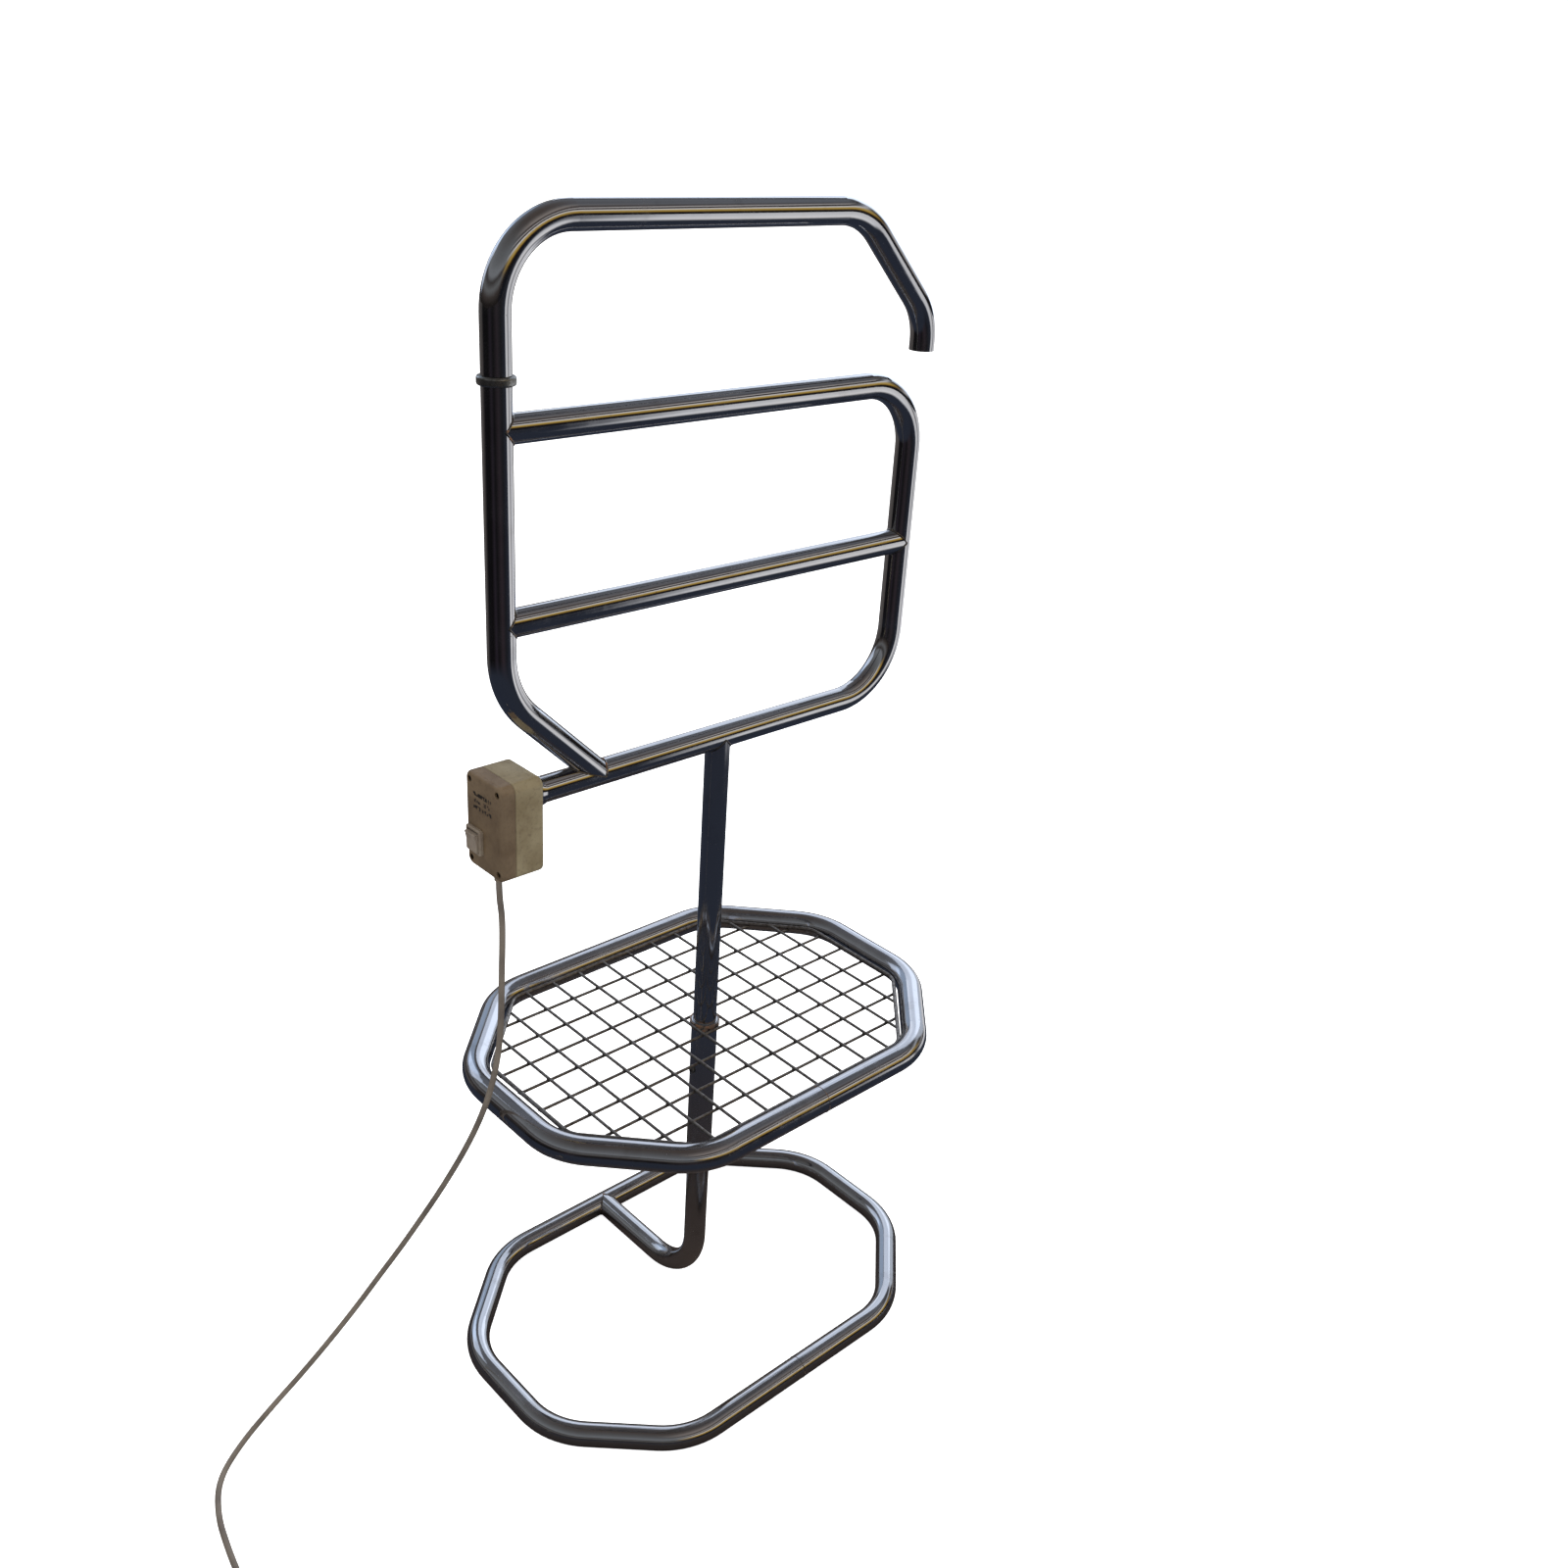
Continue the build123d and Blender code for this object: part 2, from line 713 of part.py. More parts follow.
with BuildPart() as switch_rocker:
    rocker_face = rocker_proud + rocker_pivot_inset
    with BuildSketch(rocker_plane):
        with BuildLine():
            ThreePointArc(
                (rocker_face, -rocker_height / 2),
                (rocker_face - rocker_dish, 0),
                (rocker_face, rocker_height / 2),
            )
            Polyline(
                (rocker_face, rocker_height / 2),
                (rocker_skirt, rocker_height / 2 - rocker_draft),
                (-rocker_hub, rocker_hub),
                (-rocker_hub, -rocker_hub),
                (rocker_skirt, -rocker_height / 2 + rocker_draft),
                (rocker_face, -rocker_height / 2),
            )
        make_face()
    extrude(amount=rocker_width / 2, both=True)
    fillet(switch_rocker.faces().sort_by(Axis.X)[0].edges(), rocker_round)
    with BuildSketch(rocker_plane):
        Circle(rocker_pin_radius)
    extrude(amount=rocker_width / 2 + rocker_side_gap + rocker_pin_length, both=True)

with BuildPart() as switch_blades:
    with BuildSketch(Plane.YZ.offset(box_front_x + switch_body_depth)):
        with Locations((switch_y, switch_z)):
            with GridLocations(0, blade_pitch, 1, 2):
                Rectangle(blade_width, blade_thickness)
    extrude(amount=blade_length)

# Terminal block and the wires inside the box

with BuildPart() as terminal_block:
    with BuildSketch(Plane.YZ.offset(block_back_x)):
        with Locations((block_y, block_z)):
            RectangleRounded(block_width, block_height, block_round)
    extrude(amount=-block_depth)
    with BuildSketch(Plane.XY.offset(block_z + block_height / 2)):
        with Locations((block_back_x - block_depth / 2, block_y)):
            with GridLocations(0, block_pole_pitch, 1, block_poles):
                Circle(terminal_screw_radius)
    extrude(amount=-terminal_screw_depth, mode=Mode.SUBTRACT)

with BuildPart() as terminal_screws:
    with BuildSketch(Plane.XY.offset(block_z + block_height / 2 - terminal_screw_depth)):
        with Locations((block_back_x - block_depth / 2, block_y)):
            with GridLocations(0, block_pole_pitch, 1, block_poles):
                Circle(terminal_screw_radius)
    extrude(amount=terminal_screw_depth)
    with BuildSketch(Plane.XY.offset(block_z + block_height / 2)):
        with Locations((block_back_x - block_depth / 2, block_y)):
            with GridLocations(0, block_pole_pitch, 1, block_poles):
                Circle(terminal_head_radius)
    extrude(amount=terminal_head_height)
    with BuildSketch(Plane.XY.offset(block_z + block_height / 2 + terminal_head_height)):
        with Locations((block_back_x - block_depth / 2, block_y)):
            with GridLocations(0, block_pole_pitch, 1, block_poles):
                Rectangle(2 * terminal_head_radius, terminal_slot_width)
    extrude(amount=-terminal_slot_depth, mode=Mode.SUBTRACT)

with BuildPart() as supply_cores:
    for core_index in range(block_poles):
        side = core_index - (block_poles - 1) / 2
        core_points = [
            (box_split_x, side * core_spacing, sheath_top),
            (box_split_x, block_y + side * block_pole_pitch, supply_core_z),
            (block_front_x, block_y + side * block_pole_pitch, supply_core_z),
        ]
        bend_round_tube(core_points, core_bend_radius, core_radius)

with BuildPart() as heating_leads:
    for side in (-1, 1):
        lead_points = [
            (heating_start_x, side * lead_spacing, lower_bar_height),
            (lead_turn_x, side * lead_spacing, lower_bar_height),
            (lead_turn_x, block_y + side * block_pole_pitch, heating_lead_z),
            (block_front_x, block_y + side * block_pole_pitch, heating_lead_z),
        ]
        bend_round_tube(lead_points, core_bend_radius, core_radius)

with BuildPart() as switch_leads:
    for side in (-1, 1):
        blade_z = switch_z + side * blade_pitch / 2
        lead_points = [
            (box_front_x + switch_body_depth + blade_length, switch_y, blade_z),
            (block_back_x - block_depth / 2, switch_y, blade_z),
            (block_back_x - block_depth / 2, block_y + block_width / 2, block_z + side * lead_spacing),
        ]
        bend_round_tube(lead_points, core_bend_radius, core_radius)

# Where the mains lead comes in

with BuildPart() as strain_relief:
    with BuildSketch(Plane.XZ):
        with BuildLine():
            Polyline(
                (box_split_x, relief_tip_z),
                (box_split_x + relief_tip_radius, relief_tip_z),
                (box_split_x + relief_top_radius, box_bottom - relief_shoulder_gap),
                (box_split_x + relief_groove_radius, box_bottom - relief_shoulder_gap),
                (box_split_x + relief_groove_radius, box_bottom + box_wall + relief_shoulder_gap),
                (box_split_x + relief_top_radius, box_bottom + box_wall + relief_shoulder_gap),
                (box_split_x + relief_top_radius, relief_tip_z + relief_length),
                (box_split_x, relief_tip_z + relief_length),
                close=True,
            )
        make_face()
    revolve(axis=Axis((box_split_x, 0, 0), (0, 0, 1)))

with BuildPart() as cord_sheath_end:
    with BuildSketch(Plane.XY.offset(relief_tip_z + relief_length)):
        with Locations((box_split_x, 0)):
            Circle(cord_radius)
    extrude(amount=sheath_top - relief_tip_z - relief_length)

with BuildPart() as cord_clamp:
    with BuildSketch(Plane.YZ.offset(cord_clamp_x)):
        with Locations((0, cord_clamp_z)):
            RectangleRounded(clamp_width, clamp_height, clamp_round)
            with GridLocations(clamp_screw_pitch, 0, 2, 1):
                Circle(clamp_fixing_radius + fixed_clearance, mode=Mode.SUBTRACT)
    extrude(amount=-clamp_thickness)

with BuildPart() as cord_clamp_screws:
    with BuildSketch(Plane.YZ.offset(cord_clamp_x - clamp_thickness)):
        with Locations((0, cord_clamp_z)):
            with GridLocations(clamp_screw_pitch, 0, 2, 1):
                Circle(clamp_fixing_radius)
    extrude(amount=clamp_thickness + clamp_fixing_bite)
    with BuildSketch(Plane.YZ.offset(cord_clamp_x - clamp_thickness)):
        with Locations((0, cord_clamp_z)):
            with GridLocations(clamp_screw_pitch, 0, 2, 1):
                Circle(clamp_fixing_head_radius)
    extrude(amount=-clamp_fixing_head_height)

# Mains lead: the free stretch, the coil that holds the rest, and the tail to the plug

cord_bends = corner_radii(cord_route)
tail_bends = corner_radii(tail_route)
print("cord bend radii", [round(radius, 1) for radius in cord_bends])
print("tail bend radii", [round(radius, 1) for radius in tail_bends])

with BuildPart() as power_cord:
    cord_run = bend_round_tube(cord_route, cord_bends, cord_radius)
print("cord length", round(cord_run, 1), "volume ratio", power_cord.part.volume / (cord_section * cord_run))

with BuildPart() as cord_coil:
    with BuildSketch(Plane.XY):
        with Locations((coil_centre_x, coil_centre_y)):
            Circle(coil_turn_radius + coil_rows * cord_radius)
            Circle(coil_turn_radius - coil_rows * cord_radius, mode=Mode.SUBTRACT)
    extrude(amount=coil_layers * 2 * cord_radius)
    fillet(cord_coil.edges(), coil_round)

with BuildPart() as cord_tail:
    tail_run = bend_round_tube(tail_route, tail_bends, cord_radius)
print("tail length", round(tail_run, 1), "volume ratio", cord_tail.part.volume / (cord_section * tail_run))

# Plug: a round moulded body on its side, with two pins and earth clips above and below

plug_start_x, plug_y, plug_z = tail_route[-1]
plug_shoulder_x = plug_start_x - plug_neck_length
plug_face_x = plug_shoulder_x - plug_length
plug_axis = Axis((0, plug_y, plug_z), (1, 0, 0))

with BuildPart() as plug_body:
    with BuildSketch(Plane.XZ.offset(-plug_y)):
        with BuildLine():
            Polyline(
                (plug_start_x, plug_z),
                (plug_start_x, plug_z + plug_neck_radius),
                (plug_shoulder_x, plug_z + plug_neck_root_radius),
                (plug_shoulder_x, plug_z + plug_shoulder_radius),
            )
            Line(
                (plug_shoulder_x, plug_z + plug_shoulder_radius),
                (plug_shoulder_x - plug_grip_length, plug_z + plug_radius),
            )
            Polyline(
                (plug_shoulder_x - plug_grip_length, plug_z + plug_radius),
                (plug_face_x, plug_z + plug_radius),
                (plug_face_x, plug_z),
                (plug_start_x, plug_z),
            )
        make_face()
    revolve(axis=plug_axis)
    fillet(plug_body.faces().sort_by(Axis.X)[0].edges(), plug_face_round)
    with BuildSketch(Plane.YZ.offset(plug_face_x)):
        with Locations((plug_y, plug_z)):
            with GridLocations(2 * pin_half_pitch, 0, 2, 1):
                Circle(pin_root_radius)
    extrude(amount=pin_inset, mode=Mode.SUBTRACT)
    with BuildSketch(Plane.YZ.offset(plug_face_x)):
        with Locations((plug_y, plug_z)):
            with GridLocations(0, 2 * plug_radius - plug_slot_depth, 1, 2):
                Rectangle(plug_slot_width, plug_slot_depth)
    extrude(amount=plug_slot_length, mode=Mode.SUBTRACT)

with BuildPart() as plug_pins:
    with BuildSketch(Plane.YZ.offset(plug_face_x)):
        with Locations((plug_y, plug_z)):
            with GridLocations(2 * pin_half_pitch, 0, 2, 1):
                Circle(pin_radius)
    extrude(amount=-pin_length)
    with BuildSketch(Plane.YZ.offset(plug_face_x)):
        with Locations((plug_y, plug_z)):
            with GridLocations(2 * pin_half_pitch, 0, 2, 1):
                Circle(pin_root_radius)
    extrude(amount=pin_inset)
    fillet(plug_pins.faces().filter_by(Axis.X).group_by(Axis.X)[0].edges(), pin_tip_round)

with BuildPart() as plug_earth_clips:
    with BuildSketch(Plane.YZ.offset(plug_face_x + earth_clip_margin)):
        with Locations((plug_y, plug_z)):
            with GridLocations(0, 2 * (plug_radius - plug_slot_depth) + earth_clip_thickness, 1, 2):
                Rectangle(plug_slot_width - 2 * earth_clip_margin, earth_clip_thickness)
    extrude(amount=plug_slot_length - earth_clip_margin)

pieces = {
    "base_ring": base_ring,
    "lower_post": lower_post,
    "post_socket": post_socket,
    "socket_collar": socket_collar,
    "clamp_screw": clamp_screw,
    "tray_ring": tray_ring,
    "tray_border_wire": tray_border_wire,
    "tray_cross_wires": tray_cross_wires,
    "tray_long_wires": tray_long_wires,
    "rack_frame_tube": rack_frame_tube,
    "left_upright": left_upright,
    "middle_bar": middle_bar,
    "upper_post": upper_post,
    "heating_cable": heating_cable,
    "cable_end_seal": cable_end_seal,
    "thrust_collar": thrust_collar,
    "upright_bush": upright_bush,
    "arm_spigot": arm_spigot,
    "swing_arm": swing_arm,
    "bar_flange": bar_flange,
    "box_gasket": box_gasket,
    "lock_nut": lock_nut,
    "box_housing": box_housing,
    "box_cover": box_cover,
    "cover_screws": cover_screws,
    "switch_body": switch_body,
    "switch_rocker": switch_rocker,
    "switch_blades": switch_blades,
    "terminal_block": terminal_block,
    "terminal_screws": terminal_screws,
    "supply_cores": supply_cores,
    "heating_leads": heating_leads,
    "switch_leads": switch_leads,
    "strain_relief": strain_relief,
    "cord_sheath_end": cord_sheath_end,
    "cord_clamp": cord_clamp,
    "cord_clamp_screws": cord_clamp_screws,
    "power_cord": power_cord,
    "cord_coil": cord_coil,
    "cord_tail": cord_tail,
    "plug_body": plug_body,
    "plug_pins": plug_pins,
    "plug_earth_clips": plug_earth_clips,
}

os.makedirs("parts", exist_ok=True)
for name, piece in pieces.items():
    piece.part.label = name
    export_step(piece.part, f"parts/{name}.step")
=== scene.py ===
"""Looks of a free-standing towel warmer: chromed tubes, a wire tray, a switch box and its mains lead."""

import json
import logging
import math
import random
from dataclasses import dataclass, field
from enum import Enum
from typing import ClassVar

import bpy
from mathutils import Euler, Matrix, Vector, noise

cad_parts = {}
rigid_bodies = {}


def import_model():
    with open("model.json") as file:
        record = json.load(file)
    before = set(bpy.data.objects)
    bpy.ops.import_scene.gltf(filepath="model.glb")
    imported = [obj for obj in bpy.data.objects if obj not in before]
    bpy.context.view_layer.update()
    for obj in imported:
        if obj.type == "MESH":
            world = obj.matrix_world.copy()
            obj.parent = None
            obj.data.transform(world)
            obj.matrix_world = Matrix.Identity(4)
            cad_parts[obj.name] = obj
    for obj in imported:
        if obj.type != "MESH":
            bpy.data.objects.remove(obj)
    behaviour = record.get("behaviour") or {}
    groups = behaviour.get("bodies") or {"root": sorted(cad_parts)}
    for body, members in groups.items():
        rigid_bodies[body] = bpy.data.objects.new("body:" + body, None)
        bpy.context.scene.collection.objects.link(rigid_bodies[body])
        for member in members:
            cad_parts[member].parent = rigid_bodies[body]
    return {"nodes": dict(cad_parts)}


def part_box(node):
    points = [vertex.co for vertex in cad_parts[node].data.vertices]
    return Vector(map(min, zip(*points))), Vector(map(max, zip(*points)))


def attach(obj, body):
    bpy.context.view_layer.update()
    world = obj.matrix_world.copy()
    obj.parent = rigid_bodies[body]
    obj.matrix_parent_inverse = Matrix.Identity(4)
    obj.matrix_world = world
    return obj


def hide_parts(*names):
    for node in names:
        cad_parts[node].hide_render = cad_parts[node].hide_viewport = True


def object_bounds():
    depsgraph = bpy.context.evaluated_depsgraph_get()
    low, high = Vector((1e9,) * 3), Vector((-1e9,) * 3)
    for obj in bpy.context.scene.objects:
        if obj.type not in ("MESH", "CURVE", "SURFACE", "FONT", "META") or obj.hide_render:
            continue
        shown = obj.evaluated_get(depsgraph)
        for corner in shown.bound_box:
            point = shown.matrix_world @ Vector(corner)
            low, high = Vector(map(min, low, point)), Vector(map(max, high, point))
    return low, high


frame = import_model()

LOG = logging.getLogger("towel_warmer")
MM = 0.001
CAD_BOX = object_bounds()


class Body(Enum):
    """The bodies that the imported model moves."""

    FRAME = "frame"
    ARM = "arm"
    ROCKER = "rocker"


# ---------------------------------------------------------------- small helpers


def linear(code: str) -> tuple[float, float, float, float]:
    """Turns an sRGB hex colour into linear values.

    Args:
        code: six hex digits, such as "8a7d6c".

    Returns:
        Linear red, green and blue, with an alpha of 1.
    """
    values = [int(code[i : i + 2], 16) / 255 for i in (0, 2, 4)]
    red, green, blue = (v / 12.92 if v <= 0.04045 else ((v + 0.055) / 1.055) ** 2.4 for v in values)
    return (red, green, blue, 1.0)


def add_node(tree: bpy.types.NodeTree, kind: str, links: dict | None = None,
             **settings: object) -> bpy.types.Node:
    """Adds one node, sets what it is told and links its inputs.

    Args:
        tree: the node tree that takes the node.
        kind: the node's type, without the "ShaderNode" at its start.
        links: input name or number to the output socket that feeds it.
        settings: a property's name to its value; "inputs" holds input names with theirs.

    Returns:
        The new node.
    """
    node = tree.nodes.new("ShaderNode" + kind)
    values = settings.pop("inputs", {})
    for name, value in settings.items():
        setattr(node, name, value)
    for name, value in values.items():
        node.inputs[name].default_value = value
    for name, socket in (links or {}).items():
        tree.links.new(socket, node.inputs[name])
    return node


def ramp(tree: bpy.types.NodeTree, source: bpy.types.NodeSocket,
         stops: list[tuple[float, str]]) -> bpy.types.NodeSocket:
    """Maps a value to colours.

    Args:
        tree: the node tree to add to.
        source: the value, from 0 to 1.
        stops: places along the ramp with hex colours, in rising order.

    Returns:
        The ramp's colour output.
    """
    node = add_node(tree, "ValToRGB", {"Fac": source})
    elements = node.color_ramp.elements
    (first_place, first_code), *middle, (last_place, last_code) = stops
    elements[0].position, elements[0].color = first_place, linear(first_code)
    elements[1].position, elements[1].color = last_place, linear(last_code)
    for place, code in middle:
        elements.new(place).color = linear(code)
    return node.outputs["Color"]


def mix_colours(tree: bpy.types.NodeTree, share: bpy.types.NodeSocket, first: bpy.types.NodeSocket | str,
                second: bpy.types.NodeSocket | str) -> bpy.types.NodeSocket:
    """Mixes two colours.

    Args:
        tree: the node tree to add to.
        share: how much of the second colour shows, from 0 to 1.
        first: a hex code or a socket.
        second: a hex code or a socket.

    Returns:
        The mixed colour.
    """
    node = tree.nodes.new("ShaderNodeMix")
    node.data_type = "RGBA"
    colour_inputs = [socket for socket in node.inputs if socket.type == "RGBA"]
    for socket, value in zip(colour_inputs, (first, second)):
        if isinstance(value, str):
            socket.default_value = linear(value)
        else:
            tree.links.new(value, socket)
    tree.links.new(share, node.inputs["Factor"])
    return next(socket for socket in node.outputs if socket.type == "RGBA")


def deselect_all() -> None:
    """Leaves nothing selected, so that an operator acts only on the new piece."""
    for obj in bpy.context.view_layer.objects:
        obj.select_set(False)


def make_active(obj: bpy.types.Object) -> None:
    """Selects one object and makes it the active one."""
    deselect_all()
    obj.select_set(True)
    bpy.context.view_layer.objects.active = obj


def settle(obj: bpy.types.Object) -> None:
    """Moves an object's place, turn and scale into its mesh."""
    make_active(obj)
    bpy.ops.object.transform_apply(location=True, rotation=True, scale=True)


def keep_inside(vertex: bpy.types.MeshVertex) -> None:
    """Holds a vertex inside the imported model's box, so that no bead reaches past the tubes."""
    lowest, highest = CAD_BOX
    vertex.co = [min(max(value, low), high) for value, low, high in zip(vertex.co, lowest, highest)]


def dress(obj: bpy.types.Object, material: bpy.types.Material) -> None:
    """Gives a piece one material in every slot it has.

    Args:
        obj: the piece.
        material: what it is made of.
    """
    if obj.data.materials:
        for index in range(len(obj.data.materials)):
            obj.data.materials[index] = material
    else:
        obj.data.materials.append(material)


def report(piece: str, note: str) -> None:
    """Writes one line to the log about a piece."""
    LOG.info("%s: %s", piece, note)


# ---------------------------------------------------------------- finishes


@dataclass(frozen=True)
class Finish:
    """What every finish shares: a name, and a bump and roughness pattern on Object coordinates."""

    name: str

    def start(self) -> tuple[bpy.types.Material, bpy.types.NodeTree, bpy.types.Node, bpy.types.NodeSocket]:
        """Makes an empty material.

        Returns:
            The material, its tree, its surface shader and the Object coordinates.
        """
        material = bpy.data.materials.new(self.name)
        material.use_nodes = True
        tree = material.node_tree
        shader = tree.nodes["Principled BSDF"]
        place = add_node(tree, "TexCoord").outputs["Object"]
        return material, tree, shader, place

    def pattern(self, tree: bpy.types.NodeTree, place: bpy.types.NodeSocket, spacing_mm: float,
                detail: float = 3.0, stretch: tuple[float, float, float] = (1, 1, 1)) -> bpy.types.NodeSocket:
        """Adds a noise whose grains are a real distance apart.

        Args:
            tree: the node tree to add to.
            place: the coordinates, in metres.
            spacing_mm: distance between grains.
            detail: how many finer layers it has.
            stretch: how much denser it is along each axis.

        Returns:
            The noise's value, about 0.5 on average.
        """
        moved = add_node(tree, "Mapping", {"Vector": place}, inputs={"Scale": stretch})
        grain = add_node(tree, "TexNoise", {"Vector": moved.outputs["Vector"]},
                         inputs={"Scale": 1 / (spacing_mm * MM), "Detail": detail, "Roughness": 0.55})
        return grain.outputs["Fac"]

    def spread(self, tree: bpy.types.NodeTree, value: bpy.types.NodeSocket, low: float, high: float,
               to_low: float, to_high: float) -> bpy.types.NodeSocket:
        """Maps a value from one range to another, and holds it at the ends."""
        node = add_node(tree, "MapRange", {"Value": value},
                        inputs={"From Min": low, "From Max": high, "To Min": to_low, "To Max": to_high})
        return node.outputs["Result"]

    def bump(self, tree: bpy.types.NodeTree, shader: bpy.types.Node, height: bpy.types.NodeSocket,
             depth_mm: float, strength: float = 1.0) -> None:
        """Feeds a height into the shader's normal."""
        node = add_node(tree, "Bump", {"Height": height},
                        inputs={"Distance": depth_mm * MM, "Strength": strength})
        tree.links.new(node.outputs["Normal"], shader.inputs["Normal"])


@dataclass(frozen=True)
class ChromePlate(Finish):
    """Bright chrome over drawn steel tube: a mirror with a faint haze, fine pits and a little brown bloom."""

    colour: str = "b9b8ba"
    bloom: str = "6b5a48"
    haze: float = 0.06
    haze_worn: float = 0.16
    bloom_share: float = 0.35
    cloud_mm: float = 45.0
    smear_mm: float = 9.0
    bloom_mm: float = 28.0
    wave_mm: float = 16.0
    pit_spacing_mm: float = 7.0
    pit_edge: tuple[float, float] = (0.045, 0.075)
    pit_colour: str = "1d1712"
    pit_depth_mm: float = 0.02

    def build(self) -> bpy.types.Material:
        """Makes the material.

        Returns:
            The chrome, with haze, bloom and pits.
        """
        material, tree, shader, place = self.start()
        cloud = self.pattern(tree, place, self.cloud_mm, 4.0)
        haze = self.spread(tree, cloud, 0.38, 0.68, self.haze, self.haze_worn)
        smear = self.pattern(tree, place, self.smear_mm, 5.0, (1, 1, 0.35))
        haze_more = self.spread(tree, smear, 0.5, 0.75, 0.0, 0.05)
        roughness = add_node(tree, "Math", {0: haze, 1: haze_more}, operation="ADD").outputs[0]
        cells = add_node(tree, "TexVoronoi", {"Vector": place}, feature="F1",
                         inputs={"Scale": 1 / (self.pit_spacing_mm * MM), "Randomness": 1.0})
        pit = self.spread(tree, cells.outputs["Distance"], *self.pit_edge, 1.0, 0.0)
        rare = add_node(tree, "TexNoise", {"Vector": place}, inputs={"Scale": 60.0, "Detail": 1.0})
        seldom = self.spread(tree, rare.outputs["Fac"], 0.55, 0.62, 0.0, 1.0)
        pits = add_node(tree, "Math", {0: pit, 1: seldom}, operation="MULTIPLY").outputs[0]
        clouds = self.pattern(tree, place, self.bloom_mm, 6.0)
        bloom = self.spread(tree, clouds, 0.55, 0.8, 0.0, self.bloom_share)
        plate = mix_colours(tree, bloom, self.colour, self.bloom)
        speckled = mix_colours(tree, pits, plate, self.pit_colour)
        tree.links.new(speckled, shader.inputs["Base Color"])
        rough = add_node(tree, "Math", {0: roughness, 1: pits}, operation="MAXIMUM").outputs[0]
        tree.links.new(rough, shader.inputs["Roughness"])
        shader.inputs["Metallic"].default_value = 1.0
        wave = self.pattern(tree, place, self.wave_mm, 1.0, (1, 1, 0.4))
        grit = add_node(tree, "Math", {0: wave, 1: pits}, operation="SUBTRACT").outputs[0]
        self.bump(tree, shader, grit, self.pit_depth_mm, 0.6)
        return material


@dataclass(frozen=True)
class RustedWeld(Finish):
    """Mild steel at a weld, plated thin, with brown rust where the plate is gone."""

    steel: str = "77716b"
    rust: str = "5d3c22"
    fresh_rust: str = "8a5a33"
    rust_share: float = 0.5
    blotch_mm: float = 5.0
    flake_mm: float = 0.9
    flake_depth_mm: float = 0.15

    def build(self) -> bpy.types.Material:
        """Makes the material.

        Returns:
            The steel, with rust in blotches.
        """
        material, tree, shader, place = self.start()
        patches = self.pattern(tree, place, self.blotch_mm, 6.0)
        fine = self.pattern(tree, place, self.flake_mm, 4.0)
        blotch = self.spread(tree, patches, 0.62 - 0.3 * self.rust_share, 0.66, 0.0, 1.0)
        rust = mix_colours(tree, fine, self.rust, self.fresh_rust)
        tree.links.new(mix_colours(tree, blotch, self.steel, rust), shader.inputs["Base Color"])
        tree.links.new(self.spread(tree, blotch, 0.0, 1.0, 1.0, 0.1), shader.inputs["Metallic"])
        tree.links.new(self.spread(tree, blotch, 0.0, 1.0, 0.22, 0.8), shader.inputs["Roughness"])
        self.bump(tree, shader, fine, self.flake_depth_mm, 0.8)
        return material


@dataclass(frozen=True)
class AgedPlastic(Finish):
    """Moulded ABS or PVC, spark-eroded to a fine grain, gone yellow and grimy with the years, with painted
    shade darkening its edges.
    """

    fresh: str = "a39677"
    aged: str = "8a7a58"
    # The colour of the grime specks and of the painted shade along the edges.
    grime_and_shade_colour: str = "4b3a28"
    grime_share: float = 0.4
    roughness: float = 0.52
    grain_mm: float = 0.55
    grain_depth_mm: float = 0.03
    # Radius over which the painted edge shade spreads.
    edge_shade_mm: float = 1.6
    cloud_mm: float = 26.0
    speck_mm: float = 3.5
    streak_mm: float = 6.0

    def build(self) -> bpy.types.Material:
        """Makes the material.

        Returns:
            The plastic, browner in blotches, flecked with grime, and darker along its edges with painted shade.
        """
        material, tree, shader, place = self.start()
        cloud = self.spread(tree, self.pattern(tree, place, self.cloud_mm, 4.0), 0.35, 0.68, 0.0, 1.0)
        tone = mix_colours(tree, cloud, self.fresh, self.aged)
        # Painted shade: wherever the Bevel normal turns away from the true normal, near every edge, the base
        # colour darkens, broken up by a streak noise.
        rounded = add_node(tree, "Bevel", samples=6, inputs={"Radius": self.edge_shade_mm * MM})
        true = add_node(tree, "NewGeometry").outputs["Normal"]
        bend = add_node(tree, "VectorMath", {0: rounded.outputs["Normal"], 1: true},
                        operation="DOT_PRODUCT")
        painted_edge_shade = self.spread(tree, bend.outputs["Value"], 0.90, 0.998, 0.95, 0.0)
        specks = self.pattern(tree, place, self.speck_mm, 6.0)
        speck = self.spread(tree, specks, 0.52, 0.72, 0.0, self.grime_share)
        streak = self.pattern(tree, place, self.streak_mm, 4.0, (1, 1, 0.2))
        painted_edge_shade_streaked = add_node(tree, "Math", {0: painted_edge_shade, 1: streak}, operation="MULTIPLY").outputs[0]
        grime_and_edge_shade = add_node(tree, "Math", {0: speck, 1: painted_edge_shade_streaked}, operation="MAXIMUM").outputs[0]
        tree.links.new(mix_colours(tree, grime_and_edge_shade, tone, self.grime_and_shade_colour), shader.inputs["Base Color"])
        grain = self.pattern(tree, place, self.grain_mm, 2.0)
        matt = self.spread(tree, cloud, 0.0, 1.0, self.roughness - 0.06, self.roughness + 0.08)
        tree.links.new(matt, shader.inputs["Roughness"])
        shader.inputs["IOR"].default_value = 1.53
        self.bump(tree, shader, grain, self.grain_depth_mm, 0.5)
        return material


